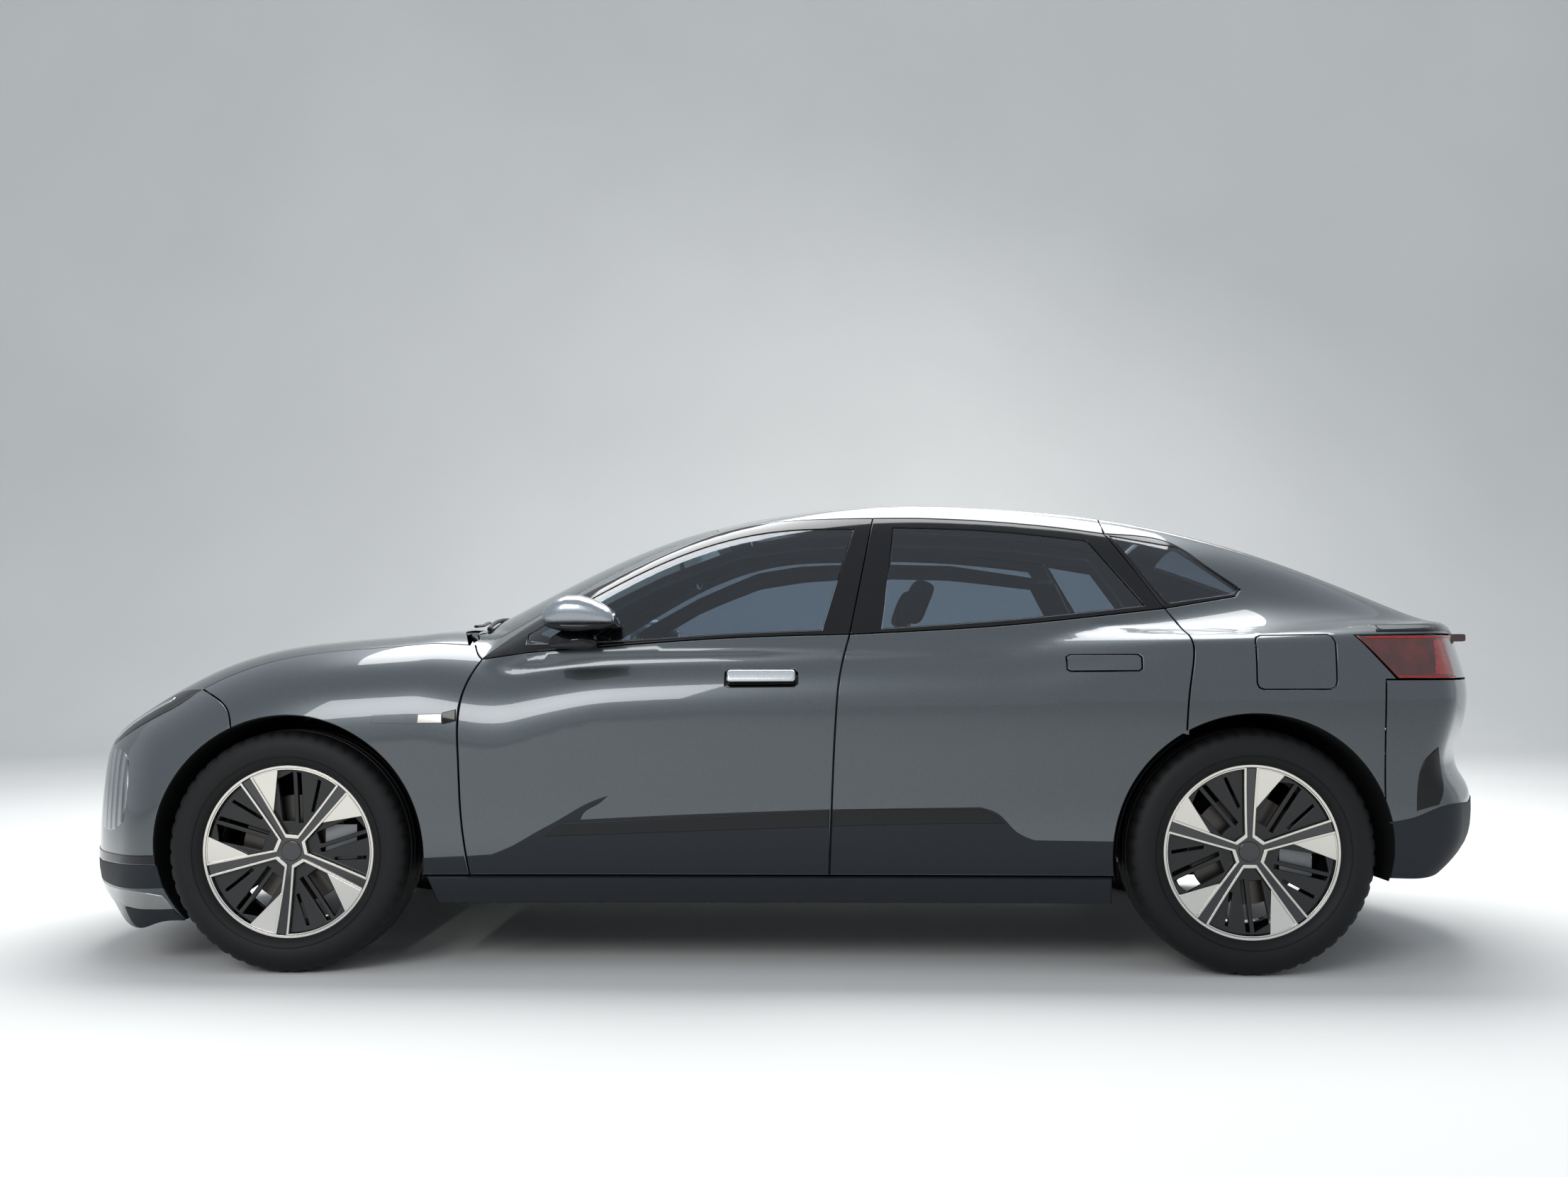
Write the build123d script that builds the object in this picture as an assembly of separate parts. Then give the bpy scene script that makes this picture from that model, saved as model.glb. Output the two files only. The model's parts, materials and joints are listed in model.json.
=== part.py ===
"""A low five-door electric coupe SUV: body shell, doors, lids, cabin, running gear and wheels.

Millimetres, +X to the rear, +Y to the car's right, +Z up, origin on the ground under the
middle of the car. Every body panel is cut from one smooth body shape, so neighbours line up.
"""
from build123d import *
from scipy.interpolate import CubicSpline
import numpy as np
import os

# ---------------------------------------------------------------- driving dimensions
wheelbase = 2999
front_overhang = 880
rear_overhang = 961
body_width = 2008
height = 1534

nose_sweep = 163            # nose centre to its corners, 700 from the middle
tail_sweep = 193            # the same at the tail
bonnet_crown = 12
roof_crown = 43
deck_fall = 0.35            # slope of the shoulder behind the level middle
level_half_front = 700      # half width of the level deck at the doors
level_half_rear = 900       # and at the tail
cabin_fold = 15             # radius between cabin and shoulder at the doors
quarter_fold = 160          # and at the rear quarters
side_glass_bulge = 12

tyre_diameter = 763
tyre_width = 255
rim_diameter = 543
tyre_outer_y = 979          # outer side wall of the tyres
arch_clearance = 47         # tyre to wheel arch
liner_thickness = 4

shut_gap = 6                # between a moving panel and its neighbour
frame_swing_gap = 15        # behind the rear door's window frame
bonnet_rear_gap = 20        # bonnet to cowl and fender, for the swing of its thick rear edge
panel_thickness = 26        # lids, outer skin with its inner frame
wing_thickness = 33.8       # front wings, measured along their view
deep_panel_thickness = 35.1  # bumpers, rear quarters and tailgate, measured along their view
door_inner_y = 845          # inner face of the doors
door_frame_thickness = 30   # window frame of a door
glass_thickness = 5
glass_sink = 7              # glass lies this far under the skin line
pillar_depth = 60           # roof rails and windscreen pillars
roof_thickness = 30

door_bottom = 308
sill_top = 302
floor_top = 330
floor_thickness = 14
battery_thickness = 118
ground_clearance = 172

hinge_setback = 62          # door hinge axis behind the door's front edge
hinge_axis_y = 945
hinge_pin_diameter = 12
pin_play = 0.05             # radial, in each bore
hinge_pin_half = 48
hinge_heights = (520, 820)
bonnet_hinge_x = -905
bonnet_hinge_z = 1008
tailgate_hinge_x = 1392
tailgate_hinge_z = 1395
tailgate_half_width = 562
tailgate_bottom = 705
tailgate_edge_radius = 60
tailgate_lug_y = 400
tailgate_lug_half = 8
tailgate_lug_length = 40
tailgate_bracket_gap = 6    # roof bracket beside the lug
bracket_thickness = 12
header_beam_width = 40
header_half_width = 540
bonnet_lug_y = 742
bonnet_lug_reach = 190
lug_thickness = 10
lug_half_height = 14
lug_slot_gap = 5.5
hinge_arm_half = 25         # door hinge arms, half their height
hinge_knuckle_radius = 10
inner_step = 26             # a door's inner edge lies this far inside its outer one
light_bar_low = 1035
light_bar_high = 1062
light_bar_depth = 44
light_bar_proud = 26
lamp_depth = 60
lamp_inner_y = 520
liner_inner_y = 512
boot_floor = 470
battery_half_width = 700
arm_below_axle = 155.5      # underside of the lower arms
arm_above_axle = 164.5      # top of the upper arms
arm_half_width = 34
arm_thickness = 24
arm_inner_y = 500
arm_end = 14                # arm beyond the centre of its ball pin
ball_gap = 0.6              # carrier to arm, each side of the ball pins
hub_inner_y = 838           # outer face of the wheel carriers
hub_shaft_radius = 30
ball_pin_radius = 10
boot_half_width = 428
crash_beam_half = 510
crash_beam_depth = 50
front_beam_x = -2246
crash_rail_inner_y = 430
front_rail_low = 430
front_rail_high = 560
front_tower_top = 900
beam_overlap = 10           # beam above and below the front rails
rear_rail_height = 90
rear_rail_reach = 627       # rear axle to the end of the boot floor
rear_beam_reach = 170       # boot floor to the back of the rear beam
rear_beam_lip = 30
rear_tower_rise = 60
tower_half_length = 110
cradle_low = 250
cradle_high = 285
cradle_reach = 260          # cradle ahead of and behind an axle
front_cradle_rear = 300
cradle_leg = 60
drive_half_length = 190
drive_half_width = 270
bulkhead_x = -1075
boot_step_x = 905
console_half_width = 115
rear_bench_width = 1010
cowl_half_width = 734
bead_radius = 256
spoke_face_y = -958
spoke_depth = 34
spoke_half_width = 17
spoke_start = 49
dashboard_half_width = 730
dashboard_low = 640

seat_y = 372
seat_height = 470
rear_seat_raise = 30
front_seat_x = -270
rear_seat_x = 700
front_seat_width = 500
front_back_height = 600
rear_back_height = 500
seat_cushion_length = 510
seat_cushion_thickness = 130
seat_cushion_tilt = -5
seat_back_thickness = 110
seat_back_start = 480       # cushion front to the foot of the back
seat_back_lean = 22
head_rest_size = (80, 250, 150)
head_rest_gap = 20
head_rest_ahead = 8
head_post_radius = 7
head_post_y = 60
rear_head_y = 340
rear_head_width = 300
seat_rail_inner = 160
seat_rail_width = 40
seat_rail_ends = (-240, 200)

kingpin_y = 806
hub_face_y = 872            # wheel mounting face
disc_diameter = 345
disc_thickness = 30
disc_bell_radius = 90
caliper_half_height = 80
caliper_reach = (100, 200)  # behind the axle
carrier_half_length = 46
carrier_hub_radius = 62
wheel_hub_radius = 78
wheel_bolt_pitch = 108
wheel_bolt_radius = 7
rim_flange_inset = 13       # rim flange inside the tyre wall
spoke_blade_width = 96
spoke_blade_start = 90

steering_wheel_diameter = 372
steering_centre = (-452, -372, 905)
steering_tilt = 24
steering_rim_radius = 15
steering_hub_radius = 62
steering_shaft_radius = 20
column_start = 100          # wheel centre to its column housing
column_length = 210
column_radius = 34

mirror_centre = (-610, -985, 1128)
mirror_radii = (116, 84, 55)
console_height = 640

# ---------------------------------------------------------------- derived places
length = front_overhang + wheelbase + rear_overhang
front_axle = front_overhang - length / 2
rear_axle = front_axle + wheelbase
tyre_radius = tyre_diameter / 2
axle_height = tyre_radius
arch_radius = tyre_radius + arch_clearance
arm_low_z = axle_height - arm_below_axle
arm_top_z = axle_height + arm_above_axle
carrier_low = arm_low_z + arm_thickness + ball_gap
carrier_high = arm_top_z - arm_thickness - ball_gap

# The body lines are drawn on a grid for a 2999 wheelbase; px, py and pz put them on this car.
grid_x = (-2420, -1540, 1459, 2420)
car_x = (-length / 2, front_axle, rear_axle, length / 2)
grid_belt = 1000
grid_height = 1534
grid_half_width = 1004


def through(xs, ys, x):
    """Straight runs through the points, carried on past both ends."""
    x = np.asarray(x, float)
    first = (ys[1] - ys[0]) / (xs[1] - xs[0])
    last = (ys[-1] - ys[-2]) / (xs[-1] - xs[-2])
    return np.interp(x, xs, ys) + np.minimum(x - xs[0], 0) * first + np.maximum(x - xs[-1], 0) * last


def px(x):
    return through(grid_x, car_x, x)


def pz(z):
    return through((0, grid_belt, grid_height), (0, grid_belt, height), z)


def py(y):
    return np.asarray(y, float) * body_width / 2 / grid_half_width


def on_grid(x, y, z):
    gx = through(car_x, grid_x, x)
    gz = through((0, grid_belt, height), (0, grid_belt, grid_height), z)
    return gx, np.abs(y) * grid_half_width / (body_width / 2), gz


# ---------------------------------------------------------------- body shape
class BodyLine:
    """A smooth line through a few points, straight beyond its ends."""

    def __init__(self, *points):
        self.x, y = np.array(points, float).T
        self.curve = CubicSpline(self.x, y, bc_type="natural")

    def __call__(self, x):
        t = np.clip(x, self.x[0], self.x[-1])
        slope = self.curve(t, 1)
        return self.curve(t) + (x - t) * slope


bonnet_line = BodyLine((-2440, 690), (-2386, 727), (-2190, 860), (-1997, 964), (-1803, 1027),
                       (-1609, 1056), (-1320, 1080), (-1090, 1104))
roof_line = BodyLine((-1300, 985), (-936, 1179), (-649, 1322), (-363, 1432), (-80, 1494), (310, 1534),
                     (711, 1525), (1110, 1488), (1508, 1405), (1904, 1270), (2200, 1148), (2400, 1075))
shoulder_line = BodyLine((-950, 985), (-552, 1022), (-208, 1044), (221, 1058), (737, 1066),
                         (1200, 1068), (1700, 1085), (2200, 1098))
half_width_line = BodyLine((-2100, 965), (-1540, 990), (-1000, 984), (-300, 982), (400, 986),
                           (1000, 998), (1459, 1004), (1800, 996), (2100, 960), (2400, 880))
tuck_line = BodyLine((150, 110), (250, 62), (350, 30), (450, 16), (600, 10), (750, 3), (850, 0),
                     (950, 4), (1050, 22), (1150, 60))
belt_line = BodyLine((-1100, 850), (-900, 880), (-500, 900), (0, 906), (500, 902), (1000, 876),
                     (1440, 812), (1900, 700), (2300, 590))
lean_line = BodyLine((-900, .52), (0, .63), (500, .63), (1000, .62), (1440, .60), (1900, .55), (2300, .50))
nose_line = BodyLine((100, 60), (190, 30), (260, 6), (340, 0), (470, 6), (700, 38), (900, 90))
tail_line = BodyLine((250, 150), (330, 60), (400, 12), (480, 0), (560, 10), (620, 44), (700, 42),
                     (800, 14), (900, 12), (1000, 40), (1110, 70), (1300, 110))


def smooth_max(a, b, radius):
    near = np.maximum(radius - np.abs(a - b), 0) / radius
    return np.maximum(a, b) + near * near * radius / 4


def smooth_min(a, b, radius):
    return -smooth_max(-a, -b, radius)


def ramp(x, start, end):
    t = np.clip((x - start) / (end - start), 0, 1)
    return t * t * (3 - 2 * t)


def tail_curve(y):
    """How far the tail comes forward towards its corners."""
    return tail_sweep * (y / 700) ** 1.8


def lower_grid(x, y, z, with_ends=True):
    """Below the windows: negative inside the body."""
    bonnet = bonnet_line(x - 94 * (y / 600) ** 2.2) - bonnet_crown * (y / 600) ** 2
    level = level_half_front + (level_half_rear - level_half_front) * ramp(x, 700, 1500)
    deck = shoulder_line(x) - deck_fall * (smooth_max(y, level, 120) - 900)
    rear_part = ramp(x, -1150, -820)
    top = (1 - rear_part) * bonnet + rear_part * deck
    radius = 320 - 120 * ramp(x, -1100, -500) - 160 * ramp(x, 700, 1300)
    shape = smooth_max(y - half_width_line(x) + tuck_line(z), z - top, radius)
    if not with_ends:
        return shape
    shape = smooth_max(shape, -2420 + nose_sweep * (y / 700) ** 2.87 + nose_line(z) - x, 60)
    return smooth_max(shape, x - 2420 + tail_curve(y) + tail_line(z), 50)


def upper_grid(x, y, z, with_ends=True):
    """Windows, pillars and roof: negative inside."""
    roof = roof_line(x + 110 * (y / 650) ** 2 * np.tanh((x - 500) / 600)) - roof_crown * (y / 600) ** 2
    above = np.maximum(z, grid_belt)
    bulge = side_glass_bulge * (1 - ((above - 1253) / 190) ** 2)
    side = y - belt_line(x) + (above - 1064) * lean_line(x) - bulge
    shape = smooth_max(z - roof, side, 90)
    if not with_ends:
        return shape
    return smooth_max(shape, x - 2330 + tail_curve(y), 20)


def lower(x, y, z):
    return lower_grid(*on_grid(x, y, z))


def lower_open(x, y, z):
    return lower_grid(*on_grid(x, y, z), False)


def upper(x, y, z):
    return upper_grid(*on_grid(x, y, z))


def whole(x, y, z, with_ends=True):
    gx, gy, gz = on_grid(x, y, z)
    fold = cabin_fold + (quarter_fold - cabin_fold) * ramp(gx, 1000, 1600)
    fold = fold * (1 - 0.8 * ramp(gx, 1800, 2200))
    return smooth_min(lower_grid(gx, gy, gz, with_ends), upper_grid(gx, gy, gz, with_ends), fold)


def whole_open(x, y, z):
    """The body carried on past its nose and tail."""
    return whole(x, y, z, False)


def unit(*v):
    return np.array(v, float) / np.linalg.norm(v)


# Directions that a panel is seen along, for the left side of the car
FROM_SIDE = (unit(0, 1, 0), unit(1, 0, 0), unit(0, 0, 1))
FROM_SHOULDER = (unit(0, 1, -1), unit(1, 0, 0), unit(0, -1, -1))
FROM_ABOVE = (unit(0, 0, -1), unit(1, 0, 0), unit(0, 1, 0))
FROM_NOSE = (unit(1, 1, 0), unit(1, -1, 0), unit(0, 0, 1))
FROM_TAIL = (unit(-1, 1, 0), unit(1, 1, 0), unit(0, 0, 1))
FROM_BEHIND = (unit(-1, 0, -1), unit(1, 0, -1), unit(0, 1, 0))


def skin(shape, view, cover, steps=(26, 20), sink=0.0, margin=8):
    """Face that follows the body shape over the points in cover, sunk along the view."""
    direction, across, along = view
    frame = np.array([across, along, direction]).T
    spots = np.array([np.linalg.solve(frame, p) for p in cover])
    low = spots.min(0) - margin
    high = spots.max(0) + margin
    us = np.linspace(low[0], high[0], steps[0])
    vs = np.linspace(low[1], high[1], steps[1])
    base = us[:, None, None] * across + vs[None, :, None] * along
    depths = np.linspace(low[2] - 500, high[2] + 500, 260)
    rays = base[:, :, None] + depths[:, None] * direction
    inside = shape(rays[..., 0], rays[..., 1], rays[..., 2]) < 0
    first = np.argmax(inside, 2)
    first = np.where(inside.any(2), np.maximum(first, 1), len(depths) - 1)
    near, far = depths[first - 1], depths[first]
    for _ in range(24):
        middle = (near + far) / 2
        p = base + middle[..., None] * direction
        hit = shape(p[..., 0], p[..., 1], p[..., 2]) < 0
        far = np.where(hit, middle, far)
        near = np.where(hit, near, middle)
    grid = base + (far + sink)[..., None] * direction
    rows = [[Vector(*p) for p in row] for row in grid]
    return Face.make_surface_from_array_of_points(rows)


def slab(shape, view, cover, depth, steps=(26, 20), sink=0.0):
    """Solid between the body skin and the same skin moved inwards by depth."""
    return extrude(skin(shape, view, cover, steps, sink), amount=depth, dir=Vector(*view[0]))


# ---------------------------------------------------------------- outlines
def closed_face(runs, to_space):
    """Face inside runs of points, two for a straight run, more for a smooth one; gaps are bridged."""
    edges = []
    ends = []
    for run in runs:
        spots = [to_space(*p) for p in run]
        edges.append(Edge.make_line(*spots) if len(spots) == 2 else Edge.make_spline(spots))
        ends.append((spots[0], spots[-1]))
    for (_, finish), (start, _) in zip(ends, ends[1:] + ends[:1]):
        if (finish - start).length > 0.01:
            edges.append(Edge.make_line(finish, start))
    return make_face(Wire(edges))


def side_prism(runs, y_from, y_to):
    """Side-view outline (grid x, z) carried across the car from y_from to y_to."""
    face = closed_face(runs, lambda x, z: Vector(float(px(x)), y_from, float(pz(z))))
    return extrude(face, amount=y_to - y_from, dir=(0, 1, 0))


def plan_prism(runs, z_from=0, z_to=2200):
    """Plan-view outline (grid x, y) carried up from z_from to z_to."""
    face = closed_face(runs, lambda x, y: Vector(float(px(x)), float(py(y)), z_from))
    return extrude(face, amount=z_to - z_from, dir=(0, 0, 1))


def polygon(*points):
    """Straight runs round a closed outline."""
    return [[a, b] for a, b in zip(points, points[1:] + points[:1])]


def block(x0, x1, y0, y1, z0, z1):
    return Pos((x0 + x1) / 2, (y0 + y1) / 2, (z0 + z1) / 2) * Box(x1 - x0, y1 - y0, z1 - z0)


def across_cylinder(x, z, radius, y0, y1):
    """Cylinder with its axis along Y."""
    return Pos(x, (y0 + y1) / 2, z) * Rot(90, 0, 0) * Cylinder(radius, abs(y1 - y0))


def upright_cylinder(x, y, radius, z0, z1):
    return Pos(x, y, (z0 + z1) / 2) * Cylinder(radius, z1 - z0)


def turned(profile, x, y):
    """Solid of revolution round the upright axis at x, y from (radius, z) points."""
    points = [Vector(x, y, profile[0][1])]
    points += [Vector(x + r, y, z) for r, z in profile]
    points += [Vector(x, y, profile[-1][1])]
    face = make_face(Polyline(*points, close=True))
    return revolve(face, Axis((x, y, 0), (0, 0, 1)), 360)


def mirrored(shape):
    return mirror(shape, about=Plane.XZ)


def solids_of(shape):
    return [s for s in shape.solids() if s.volume > 2000]


def tidy(shape):
    """Compound of a shape's real pieces."""
    pieces = solids_of(shape)
    return pieces[0] if len(pieces) == 1 else Compound(pieces)


def moved(run, dx, dz):
    return [(x + dx, z + dz) for x, z in run]


# ---------------------------------------------------------------- door outlines (grid x, z)
door_front_edge = [(-968, 308), (-989, 489), (-997, 700), (-991, 866), (-973, 929), (-948, 985)]
pillar_edge = [(-948, 985), (-905, 1024), (-618, 1207), (-401, 1317), (-142, 1420), (43, 1444), (305, 1448)]
middle_edge_upper = [(305, 1448), (220, 1046)]
middle_edge_lower = [(220, 1046), (195, 948), (181, 828), (165, 500), (158, 308)]
rear_top_edge = [(305, 1448), (403, 1448), (675, 1436), (942, 1409), (1062, 1392)]
rear_window_edge = [(1062, 1392), (1227, 1141)]
door_rear_edge = [(1227, 1141), (1268, 1061), (1261, 902), (1250, 700), (1240, 308)]
front_window = [[(-800, 1034), (-546, 1040), (-205, 1060), (137, 1074)], [(137, 1074), (240, 1410)],
                [(240, 1410), (-45, 1398), (-309, 1326), (-560, 1203), (-800, 1064)]]
rear_window = [[(326, 1078), (737, 1106), (1160, 1150)], [(1160, 1150), (1000, 1366)],
               [(1000, 1366), (672, 1402), (371, 1414)]]
quarter_window = [[(1082, 1388), (1300, 1352)], [(1300, 1352), (1375, 1289), (1478, 1208)],
                  [(1478, 1208), (1463, 1188)], [(1463, 1188), (1238, 1156)]]


door_head_line = [(-1010, -800), (-905, -792), (-618, -702), (-401, -654), (-225, -572)]


def front_door_outline(gap=0.0):
    """Outline of the front door, or of its opening in the body when gap is given."""
    return [moved(door_front_edge, -gap, 0), moved(pillar_edge, -gap / 2, gap),
            moved(middle_edge_upper, gap, 0), moved(middle_edge_lower, gap, 0)]


def rear_door_outline(gap=0.0, upper_gap=0.0):
    """Outline of the rear door, or of its opening, which leaves its frame room to swing back."""
    start = shut_gap - gap
    rear_edge = [(x + (upper_gap if z > 1000 else gap), z) for x, z in door_rear_edge]
    return [moved(middle_edge_lower[::-1], start, 0), moved(middle_edge_upper[::-1], start, 0),
            moved(rear_top_edge, start, gap), moved(rear_window_edge, upper_gap, 0), rear_edge]


def skin_y(shape, x, z):
    """Distance of the left skin from the middle of the car at x, z."""
    ys = np.linspace(1200, 300, 1801)
    inside = shape(np.full_like(ys, x), ys, np.full_like(ys, z)) < 0
    return float(ys[np.argmax(inside)])


def edge_radii(edge, hinge_x, shift=0.0):
    """(radius, height) of a door's leading edge round its hinge, up the edge."""
    result = []
    for x, z in edge:
        dx = float(px(x)) + shift - hinge_x
        dy = skin_y(lower, dx + hinge_x, float(pz(z))) - hinge_axis_y
        result.append((max(float(np.hypot(dx, dy)), 20.0), float(pz(z))))
    return sorted(result, key=lambda p: p[1])


front_hinge_x = float(px(-997)) + hinge_setback
rear_hinge_x = float(px(181)) + shut_gap + hinge_setback
front_radii = edge_radii(door_front_edge[:5], front_hinge_x)
rear_radii = edge_radii(middle_edge_lower, rear_hinge_x, shut_gap)


def swing_round(radii, hinge_x, extra):
    """Round space that a door's leading edge needs about its hinge."""
    low = (radii[0][0] + extra, radii[0][1] - 60)
    high = (radii[-1][0] + extra, radii[-1][1] + 60)
    grown = [(r + extra, z) for r, z in radii]
    return turned([low] + grown + [high], hinge_x, -hinge_axis_y)


def lower_door(outline, x_low, x_high):
    """Thick part of a door, from its skin to its flat inner face."""
    cover = [(x, y, z) for x in (x_low, x_high) for y, z in ((-900, 240), (-1000, 800), (-800, 1080))]
    body = slab(lower, FROM_SHOULDER, cover, 250, (24, 20))
    room = block(x_low - 20, x_high + 20, -1200, -door_inner_y, door_bottom, float(pz(1120)))
    return body & room & side_prism(outline, -1200, -700)


def door_frame(outline, window, x_low, x_high):
    """Window frame of a door."""
    cover = [(x, y, z) for x in (x_low, x_high) for y, z in ((-930, pz(1000)), (-560, pz(1450)))]
    body = slab(upper, FROM_SHOULDER, cover, door_frame_thickness, (26, 16))
    ring = body & side_prism(outline, -1200, -400)
    ring = ring & block(x_low - 60, x_high + 60, -1200, -300, float(pz(1000)), 3000)
    ring = ring - plan_prism([door_head_line, [(-225, -572), (1400, -572)], [(1400, -572), (1400, 0)],
                              [(1400, 0), (-1010, 0)], [(-1010, 0), (-1010, -800)]])
    return ring - side_prism(window, -1200, -400)


def door_glass(window, x_low, x_high):
    cover = [(x, y, z) for x in (x_low, x_high) for y, z in ((-930, pz(1000)), (-560, pz(1450)))]
    sheet = slab(upper, FROM_SHOULDER, cover, glass_thickness, (26, 16), glass_sink)
    return tidy(sheet & side_prism(window, -1200, -400))


def hinge_pockets(hinge_x):
    """Room in a door for the body's hinge arms, and the bores for their pins."""
    cuts = []
    for z in hinge_heights:
        half = hinge_arm_half + shut_gap
        round_knuckle = hinge_knuckle_radius + shut_gap
        cuts.append(block(hinge_x - 90, hinge_x + round_knuckle, -hinge_axis_y - round_knuckle,
                          -door_inner_y + 5, z - half, z + half))
        bore = hinge_pin_diameter / 2 + pin_play
        reach = hinge_pin_half + 2
        cuts.append(upright_cylinder(hinge_x, -hinge_axis_y, bore, z - reach, z + reach))
    return cuts


def hinge_arms(hinge_x, post_y):
    """Arms and pins on the body that carry a door."""
    parts = []
    for z in hinge_heights:
        low = z - hinge_arm_half
        high = z + hinge_arm_half
        arm = block(hinge_x - hinge_knuckle_radius, hinge_x + hinge_knuckle_radius,
                    -hinge_axis_y, post_y, low, high)
        arm += upright_cylinder(hinge_x, -hinge_axis_y, hinge_knuckle_radius, low, high)
        arm += upright_cylinder(hinge_x, -hinge_axis_y, hinge_pin_diameter / 2,
                                z - hinge_pin_half, z + hinge_pin_half)
        parts.append(arm)
    return parts


def front_door():
    x_low, x_high = float(px(-1010)), float(px(330))
    thick = lower_door(front_door_outline(), x_low, x_high)
    ahead = block(x_low - 200, front_hinge_x, -1300, -300, 100, float(pz(985)))
    thick = thick - (ahead - swing_round(front_radii, front_hinge_x, 0))
    thick = thick - swing_round(rear_radii, rear_hinge_x, shut_gap)
    behind = [moved(middle_edge_upper, -inner_step, 0), moved(middle_edge_lower, -inner_step, 0),
              [(158, 200), (600, 200)], [(600, 200), (600, 1448)]]
    thick = thick - side_prism(behind, -hinge_axis_y, -300)
    frame = door_frame(front_door_outline(), front_window, x_low, x_high)
    door = thick + frame
    for cut in hinge_pockets(front_hinge_x):
        door = door - cut
    return tidy(door)


def rear_door():
    x_low, x_high = float(px(140)), float(px(1290))
    thick = lower_door(rear_door_outline(), x_low, x_high)
    ahead = block(x_low - 200, rear_hinge_x, -1300, -300, 100, float(pz(1040)))
    thick = thick - (ahead - swing_round(rear_radii, rear_hinge_x, 0))
    behind = [moved(door_rear_edge, -inner_step, 0), [(1240, 200), (1500, 200)], [(1500, 200), (1500, 1141)]]
    thick = thick - side_prism(behind, -hinge_axis_y, -300)
    frame = door_frame(rear_door_outline(), rear_window, x_low, x_high)
    door = thick + frame
    door = door - across_cylinder(rear_axle, axle_height, arch_radius, -1300, -300)
    for cut in hinge_pockets(rear_hinge_x):
        door = door - cut
    return tidy(door)


# ---------------------------------------------------------------- plan outlines (grid x, left y)
screen_base = [(-1078, 0), (-1062, -300), (-1015, -620), (-985, -735)]
screen_side = [(-985, -735), (-800, -704), (-600, -660), (-400, -615), (-215, -556)]
screen_top = [(-215, -556), (-236, -300), (-240, 0)]
roof_side = [(-215, -556), (300, -562), (800, -556), (1400, -562)]
bonnet_rear = [(-1122, 0), (-1108, -300), (-1050, -640), (-1005, -790)]
bonnet_side = [(-1005, -790), (-1200, -800), (-1500, -802), (-1880, -812)]
bonnet_front = [(-1880, -812), (-2060, -724), (-2200, -562), (-2305, -300), (-2340, 0)]


def both_sides(runs):
    """Closed plan outline from runs of its left half, ordered round from y = 0 back to y = 0."""
    other = [[(x, -y) for x, y in run[::-1]] for run in runs[::-1]]
    return runs + other


def bonnet_outline(gap=0.0, rear_gap=0.0):
    rear = [(x + rear_gap, y - gap * .3) for x, y in bonnet_rear]
    side = [(x, y - gap) for x, y in bonnet_side]
    front = [(x - gap * .8, y - gap * .5) for x, y in bonnet_front]
    return both_sides([rear, side, front])


screen_outline = both_sides([screen_base, screen_side, screen_top])
roof_outline = both_sides([screen_top[::-1], roof_side, [(1400, -562), (1400, 0)]])

hood_cover = [(-2380, -820, 600), (-2380, 820, 600), (-980, -820, 1100), (-980, 820, 1100)]
roof_cover = [(-1110, -760, 1000), (-1110, 760, 1000), (1420, -600, 1500), (1420, 600, 1500)]


def placed(points):
    return [(float(px(x)), float(py(y)), float(pz(z))) for x, y, z in points]


def skin_z(shape, x, y):
    """Height of the body skin at x, y."""
    zs = np.linspace(2400, 300, 4201)
    inside = shape(np.full_like(zs, x), np.full_like(zs, y), zs) < 0
    return float(zs[np.argmax(inside)])


def hinge_lug(x0, x1, y0, y1, z0, z1, axis_x, axis_z):
    """Plate with a pin bore along Y."""
    bore = across_cylinder(axis_x, axis_z, hinge_pin_diameter / 2 + pin_play, y0 - 1, y1 + 1)
    return block(x0, x1, y0, y1, z0, z1) - bore


def bonnet():
    panel = slab(lower_open, FROM_ABOVE, placed(hood_cover), panel_thickness, (22, 18))
    panel = panel & plan_prism(bonnet_outline())
    for side in (-1, 1):
        y0, y1 = sorted((side * bonnet_lug_y, side * (bonnet_lug_y + lug_thickness)))
        lug = hinge_lug(bonnet_hinge_x - bonnet_lug_reach, bonnet_hinge_x + lug_half_height, y0, y1,
                        bonnet_hinge_z - lug_half_height, bonnet_hinge_z + lug_half_height,
                        bonnet_hinge_x, bonnet_hinge_z)
        foot_x = bonnet_hinge_x - bonnet_lug_reach
        riser = block(foot_x, foot_x + 30, y0, y1, bonnet_hinge_z - lug_half_height,
                      skin_z(lower, foot_x, bonnet_lug_y) - panel_thickness / 2)
        panel = panel + lug + riser
    return tidy(panel)


def bonnet_space():
    """Room for the bonnet panel with its shut gap."""
    space = slab(lower_open, FROM_ABOVE, placed(hood_cover), panel_thickness + shut_gap + 4, (22, 18), -4)
    return space & plan_prism(bonnet_outline(shut_gap, bonnet_rear_gap))


def bonnet_lug_slots():
    """Slots in the fixed panels for the bonnet's hinge arms."""
    slots = []
    near = bonnet_lug_y - lug_slot_gap
    far = bonnet_lug_y + lug_thickness + lug_slot_gap
    for side in (-1, 1):
        y0, y1 = sorted((side * near, side * far))
        room = lug_half_height + 8
        slots.append(block(bonnet_hinge_x - bonnet_lug_reach - 8, bonnet_hinge_x + room, y0, y1,
                           bonnet_hinge_z - room, bonnet_hinge_z + 200))
    return slots


def windscreen():
    sheet = slab(upper, FROM_ABOVE, placed(roof_cover), glass_thickness + 1, (44, 30))
    return tidy(sheet & plan_prism(screen_outline))


def tailgate_swing(extra):
    """Round space that the tailgate's front edge needs about its hinge."""
    return across_cylinder(tailgate_hinge_x, tailgate_hinge_z, tailgate_edge_radius + extra, -900, 900)


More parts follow.
